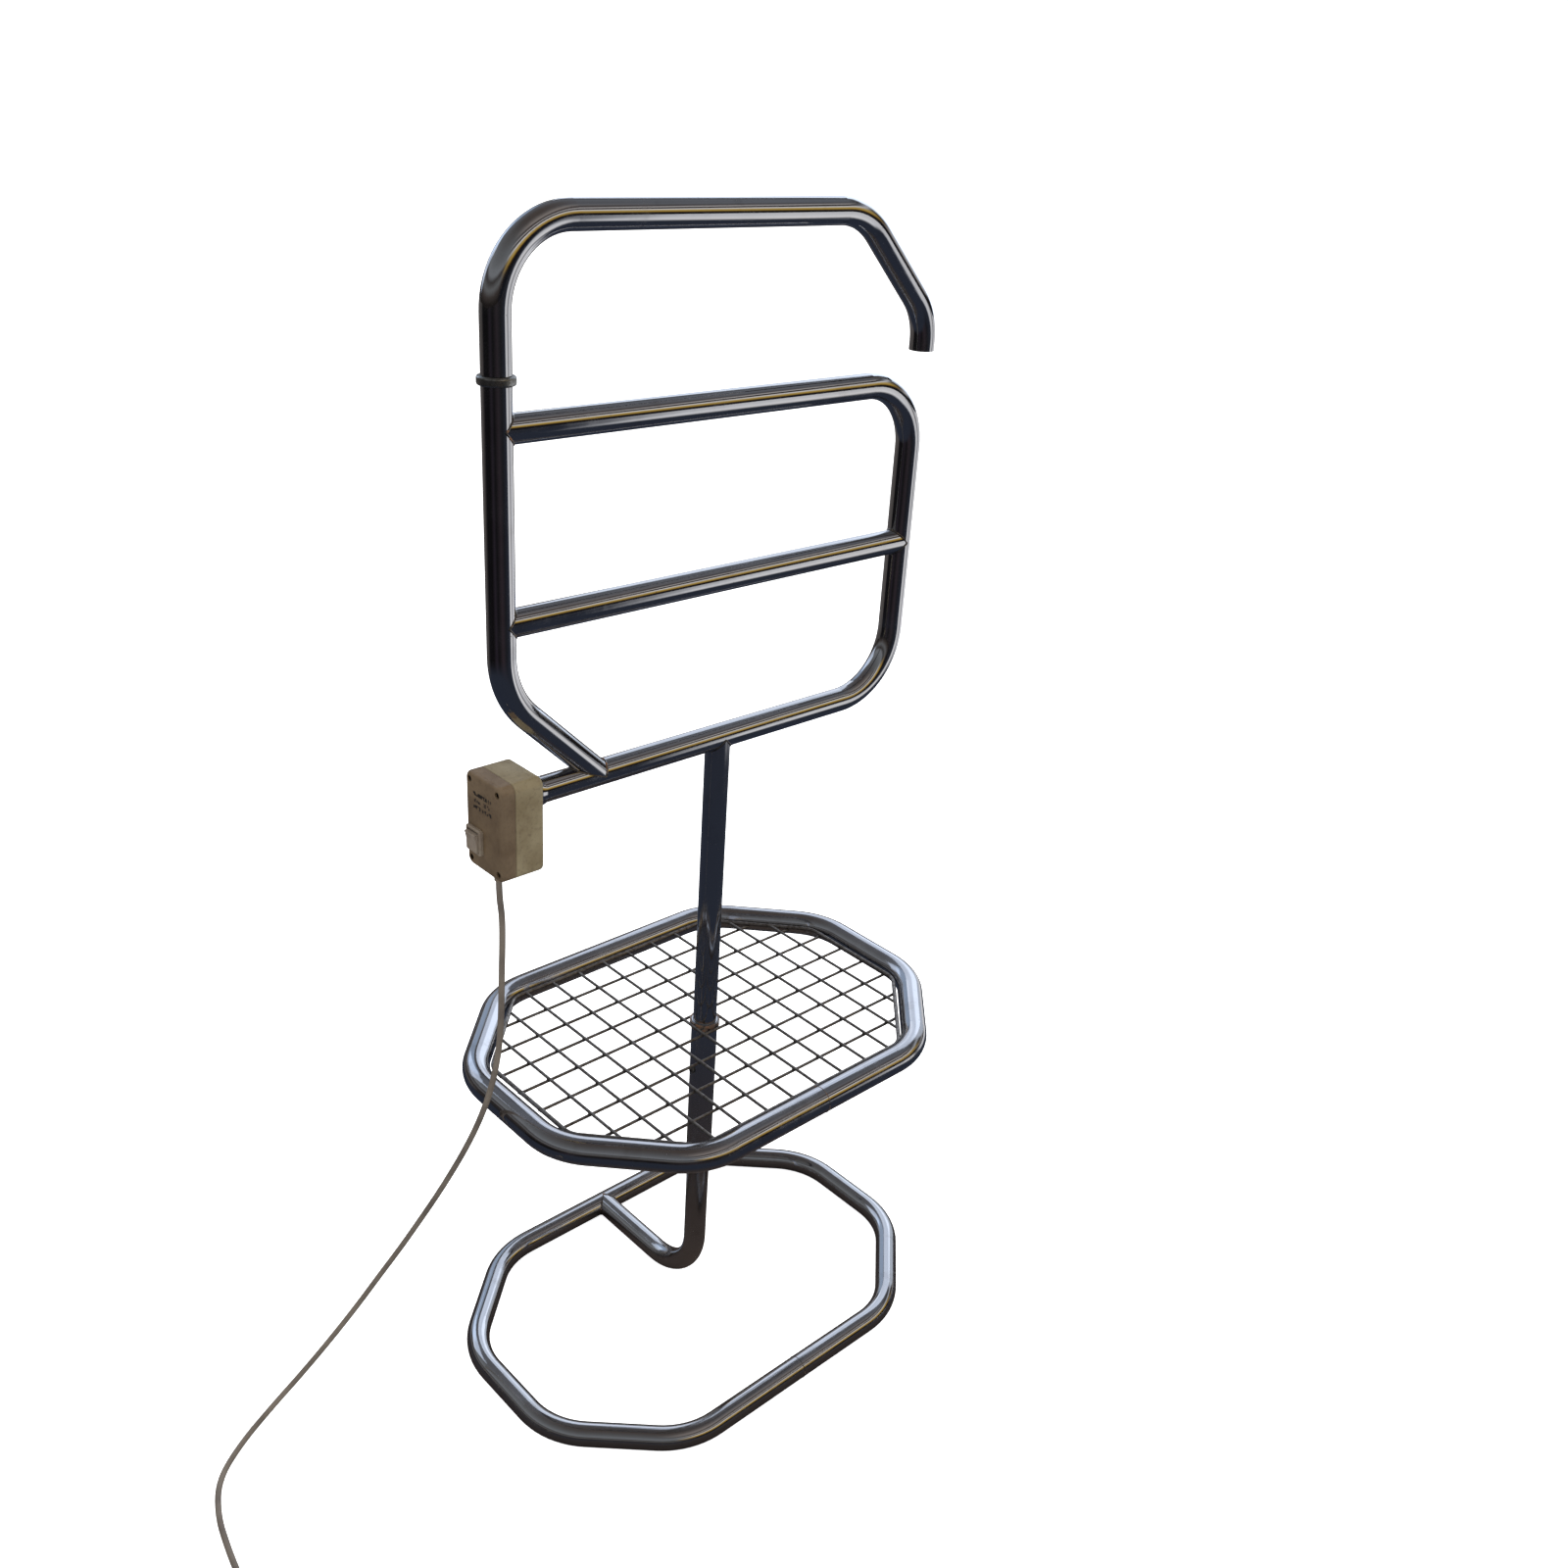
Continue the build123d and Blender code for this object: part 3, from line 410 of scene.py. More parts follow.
@dataclass(frozen=True)
class PrintedPlastic(AgedPlastic):
    """Aged plastic with a small block of worn, unreadable marks printed on it."""

    ink: str = "1d1814"
    rows_mm: float = 6.4
    mark_mm: float = 2.6
    across_mm: tuple[float, float] = (-12.0, 16.0)
    up_mm: tuple[float, float] = (707.0, 726.0)
    row_edge_mm: tuple[float, float] = (1.7, 2.0)

    def build(self) -> bpy.types.Material:
        """Makes the material.

        Returns:
            The plastic with its marks.
        """
        material = super().build()
        tree = material.node_tree
        shader = tree.nodes["Principled BSDF"]
        place = add_node(tree, "TexCoord").outputs["Object"]
        parts = add_node(tree, "SeparateXYZ", {"Vector": place}).outputs
        strokes = self.pattern(tree, place, self.mark_mm, 1.0, (1, 1, 0.55))
        marks = self.spread(tree, strokes, 0.47, 0.51, 0.0, 1.0)
        for axis, (low, high) in (("Y", self.across_mm), ("Z", self.up_mm)):
            middle, half = (low + high) / 2 * MM, (high - low) / 2 * MM
            near = add_node(tree, "Math", {0: parts[axis]}, operation="COMPARE",
                            inputs={1: middle, 2: half})
            marks = add_node(tree, "Math", {0: marks, 1: near.outputs[0]}, operation="MULTIPLY").outputs[0]
        row = add_node(tree, "Math", {0: parts["Z"]}, operation="PINGPONG",
                       inputs={1: self.rows_mm * MM / 2})
        inner, outer = self.row_edge_mm
        lines = self.spread(tree, row.outputs[0], inner * MM, outer * MM, 1.0, 0.0)
        marks = add_node(tree, "Math", {0: marks, 1: lines}, operation="MULTIPLY").outputs[0]
        ground = shader.inputs["Base Color"].links[0].from_socket
        tree.links.new(mix_colours(tree, marks, ground, self.ink), shader.inputs["Base Color"])
        return material


@dataclass(frozen=True)
class TurnedMetal(Finish):
    """Small turned or stamped metal parts: fine lathe lines and a dulled shine."""

    colour: str = "9a9a98"
    dull: str = "6a665f"
    roughness: float = 0.3
    line_mm: float = 0.4
    cloud_mm: float = 4.0

    def build(self) -> bpy.types.Material:
        """Makes the material.

        Returns:
            The metal, dulled in patches.
        """
        material, tree, shader, place = self.start()
        cloud = self.spread(tree, self.pattern(tree, place, self.cloud_mm, 4.0), 0.4, 0.7, 0.0, 1.0)
        tree.links.new(mix_colours(tree, cloud, self.colour, self.dull), shader.inputs["Base Color"])
        tree.links.new(self.spread(tree, cloud, 0.0, 1.0, self.roughness, self.roughness + 0.2),
                       shader.inputs["Roughness"])
        shader.inputs["Metallic"].default_value = 1.0
        lines = self.pattern(tree, place, self.line_mm, 1.0, (3, 1, 1))
        self.bump(tree, shader, lines, 0.02, 0.5)
        return material


@dataclass(frozen=True)
class Sheath(Finish):
    """Extruded PVC sheath of a mains lead: satin, slightly ribbed along, and handled grey."""

    colour: str = "6e655b"
    worn: str = "585049"
    roughness: float = 0.42
    cloud_mm: float = 30.0
    smudge_mm: float = 4.0

    def build(self) -> bpy.types.Material:
        """Makes the material.

        Returns:
            The sheath, smudged by handling.
        """
        material, tree, shader, place = self.start()
        cloud = self.spread(tree, self.pattern(tree, place, self.cloud_mm, 5.0), 0.35, 0.7, 0.0, 1.0)
        tree.links.new(mix_colours(tree, cloud, self.colour, self.worn), shader.inputs["Base Color"])
        smudge = self.pattern(tree, place, self.smudge_mm, 4.0)
        tree.links.new(self.spread(tree, smudge, 0.3, 0.7, self.roughness - 0.08, self.roughness + 0.12),
                       shader.inputs["Roughness"])
        shader.inputs["IOR"].default_value = 1.53
        self.bump(tree, shader, smudge, 0.05, 0.35)
        return material


class Finishes:
    """Every finish of the object, made once and shared."""

    def __init__(self) -> None:
        """Builds the materials from their finishes."""
        recipes = {
            "stand": ChromePlate("stand_chrome", bloom_share=0.3, haze_worn=0.2),
            "tray": ChromePlate("tray_chrome", colour="b6b5b8", bloom_share=0.35, haze_worn=0.18),
            "rack": ChromePlate("rack_chrome", haze=0.04, haze_worn=0.13, bloom_share=0.25),
            "wire": TurnedMetal("wire_chrome", colour="8d8782", dull="6a625b", roughness=0.38, line_mm=0.9),
            "weld": RustedWeld("bright_weld", rust_share=0.12),
            "rust": RustedWeld("rusted_weld", rust_share=0.75),
            "steel": TurnedMetal("zinc_screw"),
            "dark_screw": TurnedMetal("cover_screw", colour="4a4540", dull="2c2724", roughness=0.4),
            "brass": TurnedMetal("terminal_brass", colour="b08d4c", dull="7d6134", roughness=0.35),
            "nickel": TurnedMetal("plug_nickel", colour="c9c4b8", dull="9f998c", roughness=0.25),
            "box": AgedPlastic("box_abs", fresh="7f7459", aged="6c5f43"),
            # The cover's colours are darker than the housing's: painted shade on the face that turns from the
            # light.
            "cover": PrintedPlastic("cover_abs_shade_darkened", fresh="66553f", aged="54422c"),
            "switch": AgedPlastic("switch_abs", fresh="7b7062", aged="685b4e", roughness=0.45, grain_mm=0.4),
            "rocker": AgedPlastic("rocker_abs", fresh="82776a", aged="6c6156", roughness=0.38, grain_mm=0.4,
                                  edge_shade_mm=1.0),
            "block": AgedPlastic("terminal_polyamide", fresh="d9d4c4", aged="c2bba6", grime_share=0.1),
            "nylon": AgedPlastic("bush_nylon", fresh="d8d5c8", aged="c9c4b2", grime_share=0.1, roughness=0.4),
            "gasket": AgedPlastic("gasket_rubber", fresh="8d8474", aged="6f6658", roughness=0.8),
            "seal": AgedPlastic("seal_rubber", fresh="2a2826", aged="1f1d1c", roughness=0.75),
            "relief": AgedPlastic("relief_rubber", fresh="7d7060", aged="62574a", roughness=0.6),
            "plug": AgedPlastic("plug_pvc", fresh="8f8474", aged="786c5d", roughness=0.5),
            "cord": Sheath("cord_sheath"),
            "core": Sheath("core_insulation", colour="3d5a86", worn="2f4668"),
            "heater": Sheath("heater_silicone", colour="8c4a35", worn="6f3827", roughness=0.6),
        }
        self.materials = {name: recipe.build() for name, recipe in recipes.items()}

    def __getitem__(self, name: str) -> bpy.types.Material:
        """Gives a material by the part of the object it is for."""
        return self.materials[name]


def dress_nodes(finishes: Finishes, plan: dict[str, str]) -> None:
    """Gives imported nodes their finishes.

    Args:
        finishes: the shared finishes.
        plan: node name to finish name.
    """
    for node, finish in plan.items():
        dress(frame["nodes"][node], finishes[finish])
        report(node, f"dressed in {finish}")


# ---------------------------------------------------------------- welds


@dataclass(frozen=True)
class WeldBead:
    """A fillet weld round the foot of one tube that stands on another."""

    name: str
    root: Vector
    branch: Vector
    bar_point: Vector
    bar: Vector
    branch_radius: float
    bar_radius: float
    bead_radius: float = 1.1 * MM
    slot: str = "rack_chrome"
    body: Body = Body.FRAME
    steps: int = 96
    ripples: int = 34

    def foot(self, turn: float) -> tuple[Vector, Vector]:
        """Finds where the branch's wall meets the bar.

        Args:
            turn: angle round the branch.

        Returns:
            The point of the seam, and the direction away from the branch's axis there.
        """
        along = self.branch.normalized()
        across = along.cross(self.bar.normalized()).normalized()
        aside = along.cross(across)
        rim = across * math.cos(turn) + aside * math.sin(turn)
        start = self.root + rim * self.branch_radius - self.bar_point
        axis = self.bar.normalized()
        flat_start = start - axis * start.dot(axis)
        flat_along = along - axis * along.dot(axis)
        a = flat_along.dot(flat_along)
        b = flat_start.dot(flat_along)
        c = flat_start.dot(flat_start) - self.bar_radius**2
        reach = (-b + math.sqrt(max(0.0, b * b - a * c))) / a
        return start + along * reach + self.bar_point, rim

    def build(self, material: bpy.types.Material) -> bpy.types.Object:
        """Makes the bead as a ring that is laid along the seam.

        Args:
            material: the bead's material.

        Returns:
            The bead.
        """
        deselect_all()
        bpy.ops.mesh.primitive_torus_add(major_segments=self.steps, minor_segments=10,
                                         major_radius=self.branch_radius, minor_radius=self.bead_radius)
        bead = bpy.context.object
        bead.name = self.name
        along = self.branch.normalized()
        for vertex in bead.data.vertices:
            turn = math.atan2(vertex.co.y, vertex.co.x)
            out = math.hypot(vertex.co.x, vertex.co.y) - self.branch_radius
            seam, rim = self.foot(turn)
            ripple = 1 + 0.10 * math.sin(self.ripples * turn) + 0.25 * noise.noise(seam / (6 * MM))
            vertex.co = seam + (rim * out + along * vertex.co.z) * ripple
            keep_inside(vertex)
        make_active(bead)
        bpy.ops.object.shade_smooth()
        bpy.ops.object.mode_set(mode="EDIT")
        bpy.ops.mesh.select_all(action="SELECT")
        bpy.ops.mesh.normals_make_consistent(inside=False)
        bpy.ops.object.mode_set(mode="OBJECT")
        dress(bead, material)
        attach(bead, self.body.value)
        report(self.name, "weld bead laid")
        return bead


# ---------------------------------------------------------------- sub-assemblies


@dataclass
class SubAssembly:
    """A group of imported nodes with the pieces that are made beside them."""

    looks: ClassVar[dict[str, str]] = {}
    finishes: Finishes

    def build(self) -> list[bpy.types.Object]:
        """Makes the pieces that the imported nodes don't have.

        Returns:
            The new pieces.
        """
        return []

    def dress(self) -> None:
        """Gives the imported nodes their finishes."""
        dress_nodes(self.finishes, self.looks)

    def rings(self, name: str, places: list[tuple[Vector, float, float]], turn: tuple[float, float, float],
              finish: str, slot: str, body: Body = Body.FRAME) -> bpy.types.Object:
        """Makes one piece of several thin rings.

        Args:
            name: the piece's name.
            places: each ring's centre, its radius and the radius of its bead.
            turn: how the rings are turned, in radians.
            finish: the finish's name.
            slot: not used.
            body: the body it rides on.

        Returns:
            The piece.
        """
        deselect_all()
        (centre, radius, bead), *others = places
        bpy.ops.mesh.primitive_torus_add(location=centre, rotation=turn, major_radius=radius, minor_radius=bead,
                                         major_segments=72, minor_segments=10)
        piece = bpy.context.object
        settle(piece)
        bpy.ops.object.mode_set(mode="EDIT")
        for centre, radius, bead in others:
            bpy.ops.mesh.primitive_torus_add(location=centre, rotation=turn, major_radius=radius,
                                             minor_radius=bead, major_segments=72, minor_segments=10)
        bpy.ops.mesh.select_all(action="SELECT")
        bpy.ops.mesh.normals_make_consistent(inside=False)
        bpy.ops.object.mode_set(mode="OBJECT")
        bpy.ops.object.shade_smooth()
        piece.name = name
        for vertex in piece.data.vertices:
            keep_inside(vertex)
        dress(piece, self.finishes[finish])
        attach(piece, body.value)
        report(name, f"{len(places)} rings made")
        return piece


@dataclass
class Stand(SubAssembly):
    """The floor ring, its post and the socket that takes the rack."""

    tube_radius: float = 12.5 * MM
    looks: ClassVar[dict[str, str]] = {
        "base_ring": "stand", "lower_post": "stand", "post_socket": "stand",
        "socket_collar": "rust", "clamp_screw": "steel",
    }

    def build(self) -> list[bpy.types.Object]:
        """Makes the post's weld, the butt weld that closes the floor ring and the collar's weld.

        Returns:
            The three welds.
        """
        lowest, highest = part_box("base_ring")
        rear = Vector((0, highest[1] - self.tube_radius, self.tube_radius))
        front = Vector((6 * MM, lowest[1] + self.tube_radius, self.tube_radius))
        weld = WeldBead("post_foot_weld", rear, Vector((0, -1, 0)), rear, Vector((1, 0, 0)), self.tube_radius,
                        self.tube_radius, slot="stand_chrome").build(self.finishes["weld"])
        seam = self.rings("floor_ring_seam", [(front, self.tube_radius, 0.35 * MM)], (0, math.pi / 2, 0),
                          "weld", "stand_chrome")
        low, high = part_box("socket_collar")
        radius = (high[0] - low[0]) / 2 - 1.0 * MM
        fuse = self.rings("collar_weld", [(Vector((0, 0, low[2])), radius, 0.9 * MM)], (0, 0, 0),
                          "rust", "collar_steel")
        return [weld, seam, fuse]


@dataclass
class Tray(SubAssembly):
    """The lower tray: its tube ring, the border wire and the welded wire grid."""

    tube_radius: float = 14 * MM
    looks: ClassVar[dict[str, str]] = {
        "tray_ring": "tray", "tray_border_wire": "wire", "tray_cross_wires": "wire",
        "tray_long_wires": "wire",
    }
    cross_pitch: float = 34.6 * MM
    cross_count: int = 12
    long_pitch: float = 35 * MM
    long_count: int = 8
    cut_length: float = 88 * MM
    cut_width: float = 92 * MM
    border_radius: float = 2.25 * MM
    layer_drop: float = 1.5 * MM
    end_gap: float = 3 * MM
    spot_radius: float = 2.1 * MM
    spot_range_mm: tuple[float, float] = (1.9, 2.4)
    spot_flatness: float = 0.8
    lump_spacing: float = 1.5 * MM
    lump_height: float = 0.35 * MM

    def reach(self, offset: float, half_side: float, half_across: float, cut_side: float,
              cut_across: float) -> float:
        """Finds how far a wire runs before it meets the border.

        Args:
            offset: the wire's distance from the tray's middle.
            half_side: half the tray's size along that distance.
            half_across: half the tray's size along the wire.
            cut_side: the corner cut's size along that distance.
            cut_across: the corner cut's size along the wire.

        Returns:
            Half the wire's length.
        """
        return half_across - max(0.0, abs(offset) - half_side + cut_side) * cut_across / cut_side

    def weld_places(self) -> list[Vector]:
        """Lists where the wires cross each other and where they end on the border wire.

        Returns:
            The middle of each spot weld.
        """
        low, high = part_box("tray_border_wire")
        half_length, half_width = high[0] - self.border_radius, high[1] - self.border_radius
        level = (low[2] + high[2]) / 2
        between = level - self.layer_drop
        places = []
        for column in range(self.cross_count):
            x = (column - (self.cross_count - 1) / 2) * self.cross_pitch
            end_y = self.reach(x, half_length, half_width, self.cut_length, self.cut_width)
            places += [Vector((x, side * end_y, level)) for side in (-1, 1)]
            for row in range(self.long_count):
                y = (row - (self.long_count - 1) / 2) * self.long_pitch
                if abs(y) < end_y - self.end_gap:
                    places.append(Vector((x, y, between)))
        for row in range(self.long_count):
            y = (row - (self.long_count - 1) / 2) * self.long_pitch
            end_x = self.reach(y, half_width, half_length, self.cut_width, self.cut_length)
            places += [Vector((side * end_x, y, between)) for side in (-1, 1)]
        return places

    def build(self) -> list[bpy.types.Object]:
        """Makes the spot welds of the grid and the butt weld of the tube ring.

        Returns:
            The spot welds and the seam.
        """
        places = self.weld_places()
        deselect_all()
        bpy.ops.mesh.primitive_ico_sphere_add(subdivisions=2, radius=self.spot_radius, location=places[0])
        spots = bpy.context.object
        settle(spots)
        bpy.ops.object.mode_set(mode="EDIT")
        for place in places[1:]:
            bpy.ops.mesh.primitive_ico_sphere_add(
                subdivisions=2, radius=random.uniform(*self.spot_range_mm) * MM, location=place)
        bpy.ops.object.mode_set(mode="OBJECT")
        spots.name = "grid_spot_welds"
        level = places[2].z
        for vertex in spots.data.vertices:
            lump = noise.noise_vector(vertex.co / self.lump_spacing) * self.lump_height
            flat = Vector((vertex.co.x, vertex.co.y, level + (vertex.co.z - level) * self.spot_flatness))
            vertex.co = flat + lump
        make_active(spots)
        bpy.ops.object.shade_smooth()
        dress(spots, self.finishes["wire"])
        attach(spots, Body.FRAME.value)
        report("grid_spot_welds", f"{len(places)} welds made")
        low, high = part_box("tray_ring")
        front = Vector((5 * MM, low[1] + self.tube_radius, (low[2] + high[2]) / 2))
        seam = self.rings("tray_ring_seam", [(front, self.tube_radius, 0.35 * MM)], (0, math.pi / 2, 0),
                          "rust", "tray_chrome")
        return [spots, seam]


@dataclass
class Rack(SubAssembly):
    """The rack that the towels hang on: its bent tube, uprights, bars and the heating cable inside."""

    tube_radius: float = 12.5 * MM
    looks: ClassVar[dict[str, str]] = {
        "rack_frame_tube": "rack", "left_upright": "rack", "middle_bar": "rack",
        "upper_post": "rack", "heating_cable": "heater", "cable_end_seal": "seal",
        "thrust_collar": "steel", "upright_bush": "nylon",
    }
    left_x: float = -247.2 * MM
    right_x: float = 236.7 * MM
    foot_x: float = -145.7 * MM
    foot_rise: tuple[float, float, float] = (-101.5, 0, 98.8)
    low_z: float = 715.2 * MM
    middle_z: float = 877.7 * MM
    top_z: float = 1040.1 * MM

    def build(self) -> list[bpy.types.Object]:
        """Makes the weld at each joint of the tubes.

        Returns:
            The five welds.
        """
        along, across, up = Vector((1, 0, 0)), Vector((-1, 0, 0)), Vector((0, 0, 1))
        joints = [
            ("middle_bar_left_weld", Vector((self.left_x, 0, self.middle_z)), along, up),
            ("middle_bar_right_weld", Vector((self.right_x, 0, self.middle_z)), across, up),
            ("top_bar_weld", Vector((self.left_x, 0, self.top_z)), along, up),
            ("upright_foot_weld", Vector((self.foot_x, 0, self.low_z)), Vector(self.foot_rise), along),
            ("post_head_weld", Vector((0, 0, self.low_z)), -up, along),
        ]
        return [WeldBead(name, root, branch, root, bar, self.tube_radius, self.tube_radius)
                .build(self.finishes["weld"]) for name, root, branch, bar in joints]


@dataclass
class SwingArm(SubAssembly):
    """The arm on top, which turns in the left upright."""

    looks: ClassVar[dict[str, str]] = {
        "arm_spigot": "steel", "swing_arm": "rack",
    }


@dataclass
class ControlBox(SubAssembly):
    """The switch box on the end of the lower bar, with what is inside it."""

    looks: ClassVar[dict[str, str]] = {
        "bar_flange": "rack", "box_gasket": "gasket", "lock_nut": "steel", "box_housing": "box",
        "box_cover": "cover", "cover_screws": "dark_screw", "switch_body": "switch",
        "switch_rocker": "rocker", "switch_blades": "brass", "terminal_block": "block",
        "terminal_screws": "brass", "supply_cores": "core", "heating_leads": "heater",
        "switch_leads": "core", "cord_clamp": "block", "cord_clamp_screws": "steel",
        "cord_sheath_end": "cord",
    }


@dataclass(frozen=True)
class CordShape:
    """Sizes of the mains lead and of the coil that its spare length lies in."""

    radius: float = 3.0 * MM
    coil_centre: Vector = field(default_factory=lambda: Vector((-608 * MM, -72 * MM, 0)))
    coil_outer: float = 39 * MM
    coil_inner: float = 27 * MM
    lower_turns: float = 2.0
    rise_turns: float = 1.1
    turns: float = 5.25
    points_per_turn: int = 16
    lift: float = 6 * MM

    def coil(self) -> list[Vector]:
        """Winds the coil: inwards on the floor, up one layer, and outwards on top.

        Returns:
            Points along the coil's centre line.
        """
        points = []
        for step in range(1, int(self.turns * self.points_per_turn)):
            turn = step / self.points_per_turn
            inward = self.coil_outer - self.coil_inner
            if turn <= self.lower_turns:
                radius, height = self.coil_outer - inward * turn / self.lower_turns, self.radius
            elif turn <= self.lower_turns + self.rise_turns:
                share = (turn - self.lower_turns) / self.rise_turns
                radius, height = self.coil_inner, self.radius + self.lift * share
            else:
                risen = self.lower_turns + self.rise_turns
                past = (turn - risen) / (self.turns - risen)
                radius, height = self.coil_inner + inward * past, self.radius + self.lift
            angle = -2 * math.pi * turn
            spoke = Vector((radius * math.cos(angle), radius * math.sin(angle), height))
            points.append(self.coil_centre + spoke)
        return points


@dataclass
class MainsLead(SubAssembly):
    """The lead from the box to the floor, its coil and the plug."""

    looks: ClassVar[dict[str, str]] = {
        "strain_relief": "relief", "plug_body": "plug", "plug_pins": "nickel",
        "plug_earth_clips": "nickel",
    }
    length: float = 2.054
    strap_half: float = 0.6 * MM
    strap_widening: float = 3.5
    route: ClassVar[list[tuple[float, float, float]]] = [
        (-254.6, 0.0, 637.5), (-254.6, 0.0, 621.0), (-252.6, -0.9, 600.0), (-253.5, -1.8, 572.0),
        (-255.5, -2.2, 533.0), (-257.0, -2.6, 493.0), (-260.5, -2.2, 452.0), (-268.5, 0.5, 412.0),
        (-274.5, 12.0, 373.0), (-279.0, 30.0, 332.0), (-284.5, 49.5, 292.0), (-292.5, 68.5, 252.0),
        (-303.5, 86.5, 213.0), (-318.0, 102.0, 175.0), (-336.5, 116.0, 138.0), (-359.0, 127.0, 101.0),
        (-387.0, 134.5, 67.0), (-420.0, 137.5, 38.0), (-459.0, 134.5, 16.0), (-500.0, 122.0, 3.4),
        (-536.0, 95.0, 3.05), (-554.0, 57.0, 3.1), (-562.0, 18.0, 3.05), (-567.5, -20.0, 3.1),
        (-569.0, -57.0, 3.05),
    ]
    tail: ClassVar[list[tuple[float, float, float]]] = [
        (-608.0, -111.0, 9.0), (-625.0, -111.3, 9.5), (-645.0, -111.0, 16.0), (-662.0, -111.5, 18.5),
    ]

    def build(self) -> list[bpy.types.Object]:
        """Makes the lead as one curve, the ribs of its strain relief and the coil's strap.

        Returns:
            The lead, the ribs and the strap.
        """
        shape = CordShape()
        route, tail = ([Vector(point) * MM for point in run] for run in (self.route, self.tail))
        points = route + shape.coil() + tail
        data = bpy.data.curves.new("mains_lead", "CURVE")
        data.dimensions = "3D"
        data.bevel_depth = shape.radius
        data.bevel_resolution = 5
        data.resolution_u = 8
        data.use_fill_caps = True
        spline = data.splines.new("NURBS")
        spline.points.add(len(points) - 1)
        for slot, point in zip(spline.points, points):
            slot.co = (*point, 1.0)
        spline.order_u = 3
        spline.use_endpoint_u = True
        lead = bpy.data.objects.new("mains_lead", data)
        bpy.context.scene.collection.objects.link(lead)
        dress(lead, self.finishes["cord"])
        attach(lead, Body.FRAME.value)
        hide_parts("power_cord", "cord_coil", "cord_tail")
        report("mains_lead", f"{spline.calc_length():.4f} m long")
        ribs, tie = self.ribs(), self.tie(shape)
        return [lead, ribs, tie]

    def ribs(self) -> bpy.types.Object:
        """Makes the ribs that stiffen the strain relief below the box.

        Returns:
            The ribs, as one piece.
        """
        low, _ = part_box("strain_relief")
        axis_x = self.route[0][0] * MM
        places = [(Vector((axis_x, 0, low[2] + (1.4 + 2.4 * rib) * MM)), (3.75 + 0.26 * rib) * MM, 0.55 * MM)
                  for rib in range(4)]
        return self.rings("strain_relief_ribs", places, (0, 0, 0), "relief", "relief_rubber")

    def tie(self, shape: CordShape) -> bpy.types.Object:
        """Makes the strap that holds the coil together.

        Args:
            shape: the coil's sizes.

        Returns:
            The strap.
        """
        middle = (shape.coil_outer + shape.coil_inner) / 2
        place = shape.coil_centre + Vector((-middle, 0, 2 * shape.radius))
        half_across = (shape.coil_outer - shape.coil_inner) / 2 + shape.radius + self.strap_half
        strap = self.rings("coil_tie", [(place, half_across, self.strap_half)], (math.pi / 2, 0, 0),
                           "seal", "seal_rubber")
        squash = (2 * shape.radius + self.strap_half) / half_across
        for vertex in strap.data.vertices:
            out = vertex.co - place
            vertex.co = place + Vector((out.x, out.y * self.strap_widening, out.z * squash))
            vertex.co.z = max(vertex.co.z, place.z - 2 * shape.radius)
        return strap


# ---------------------------------------------------------------- studio


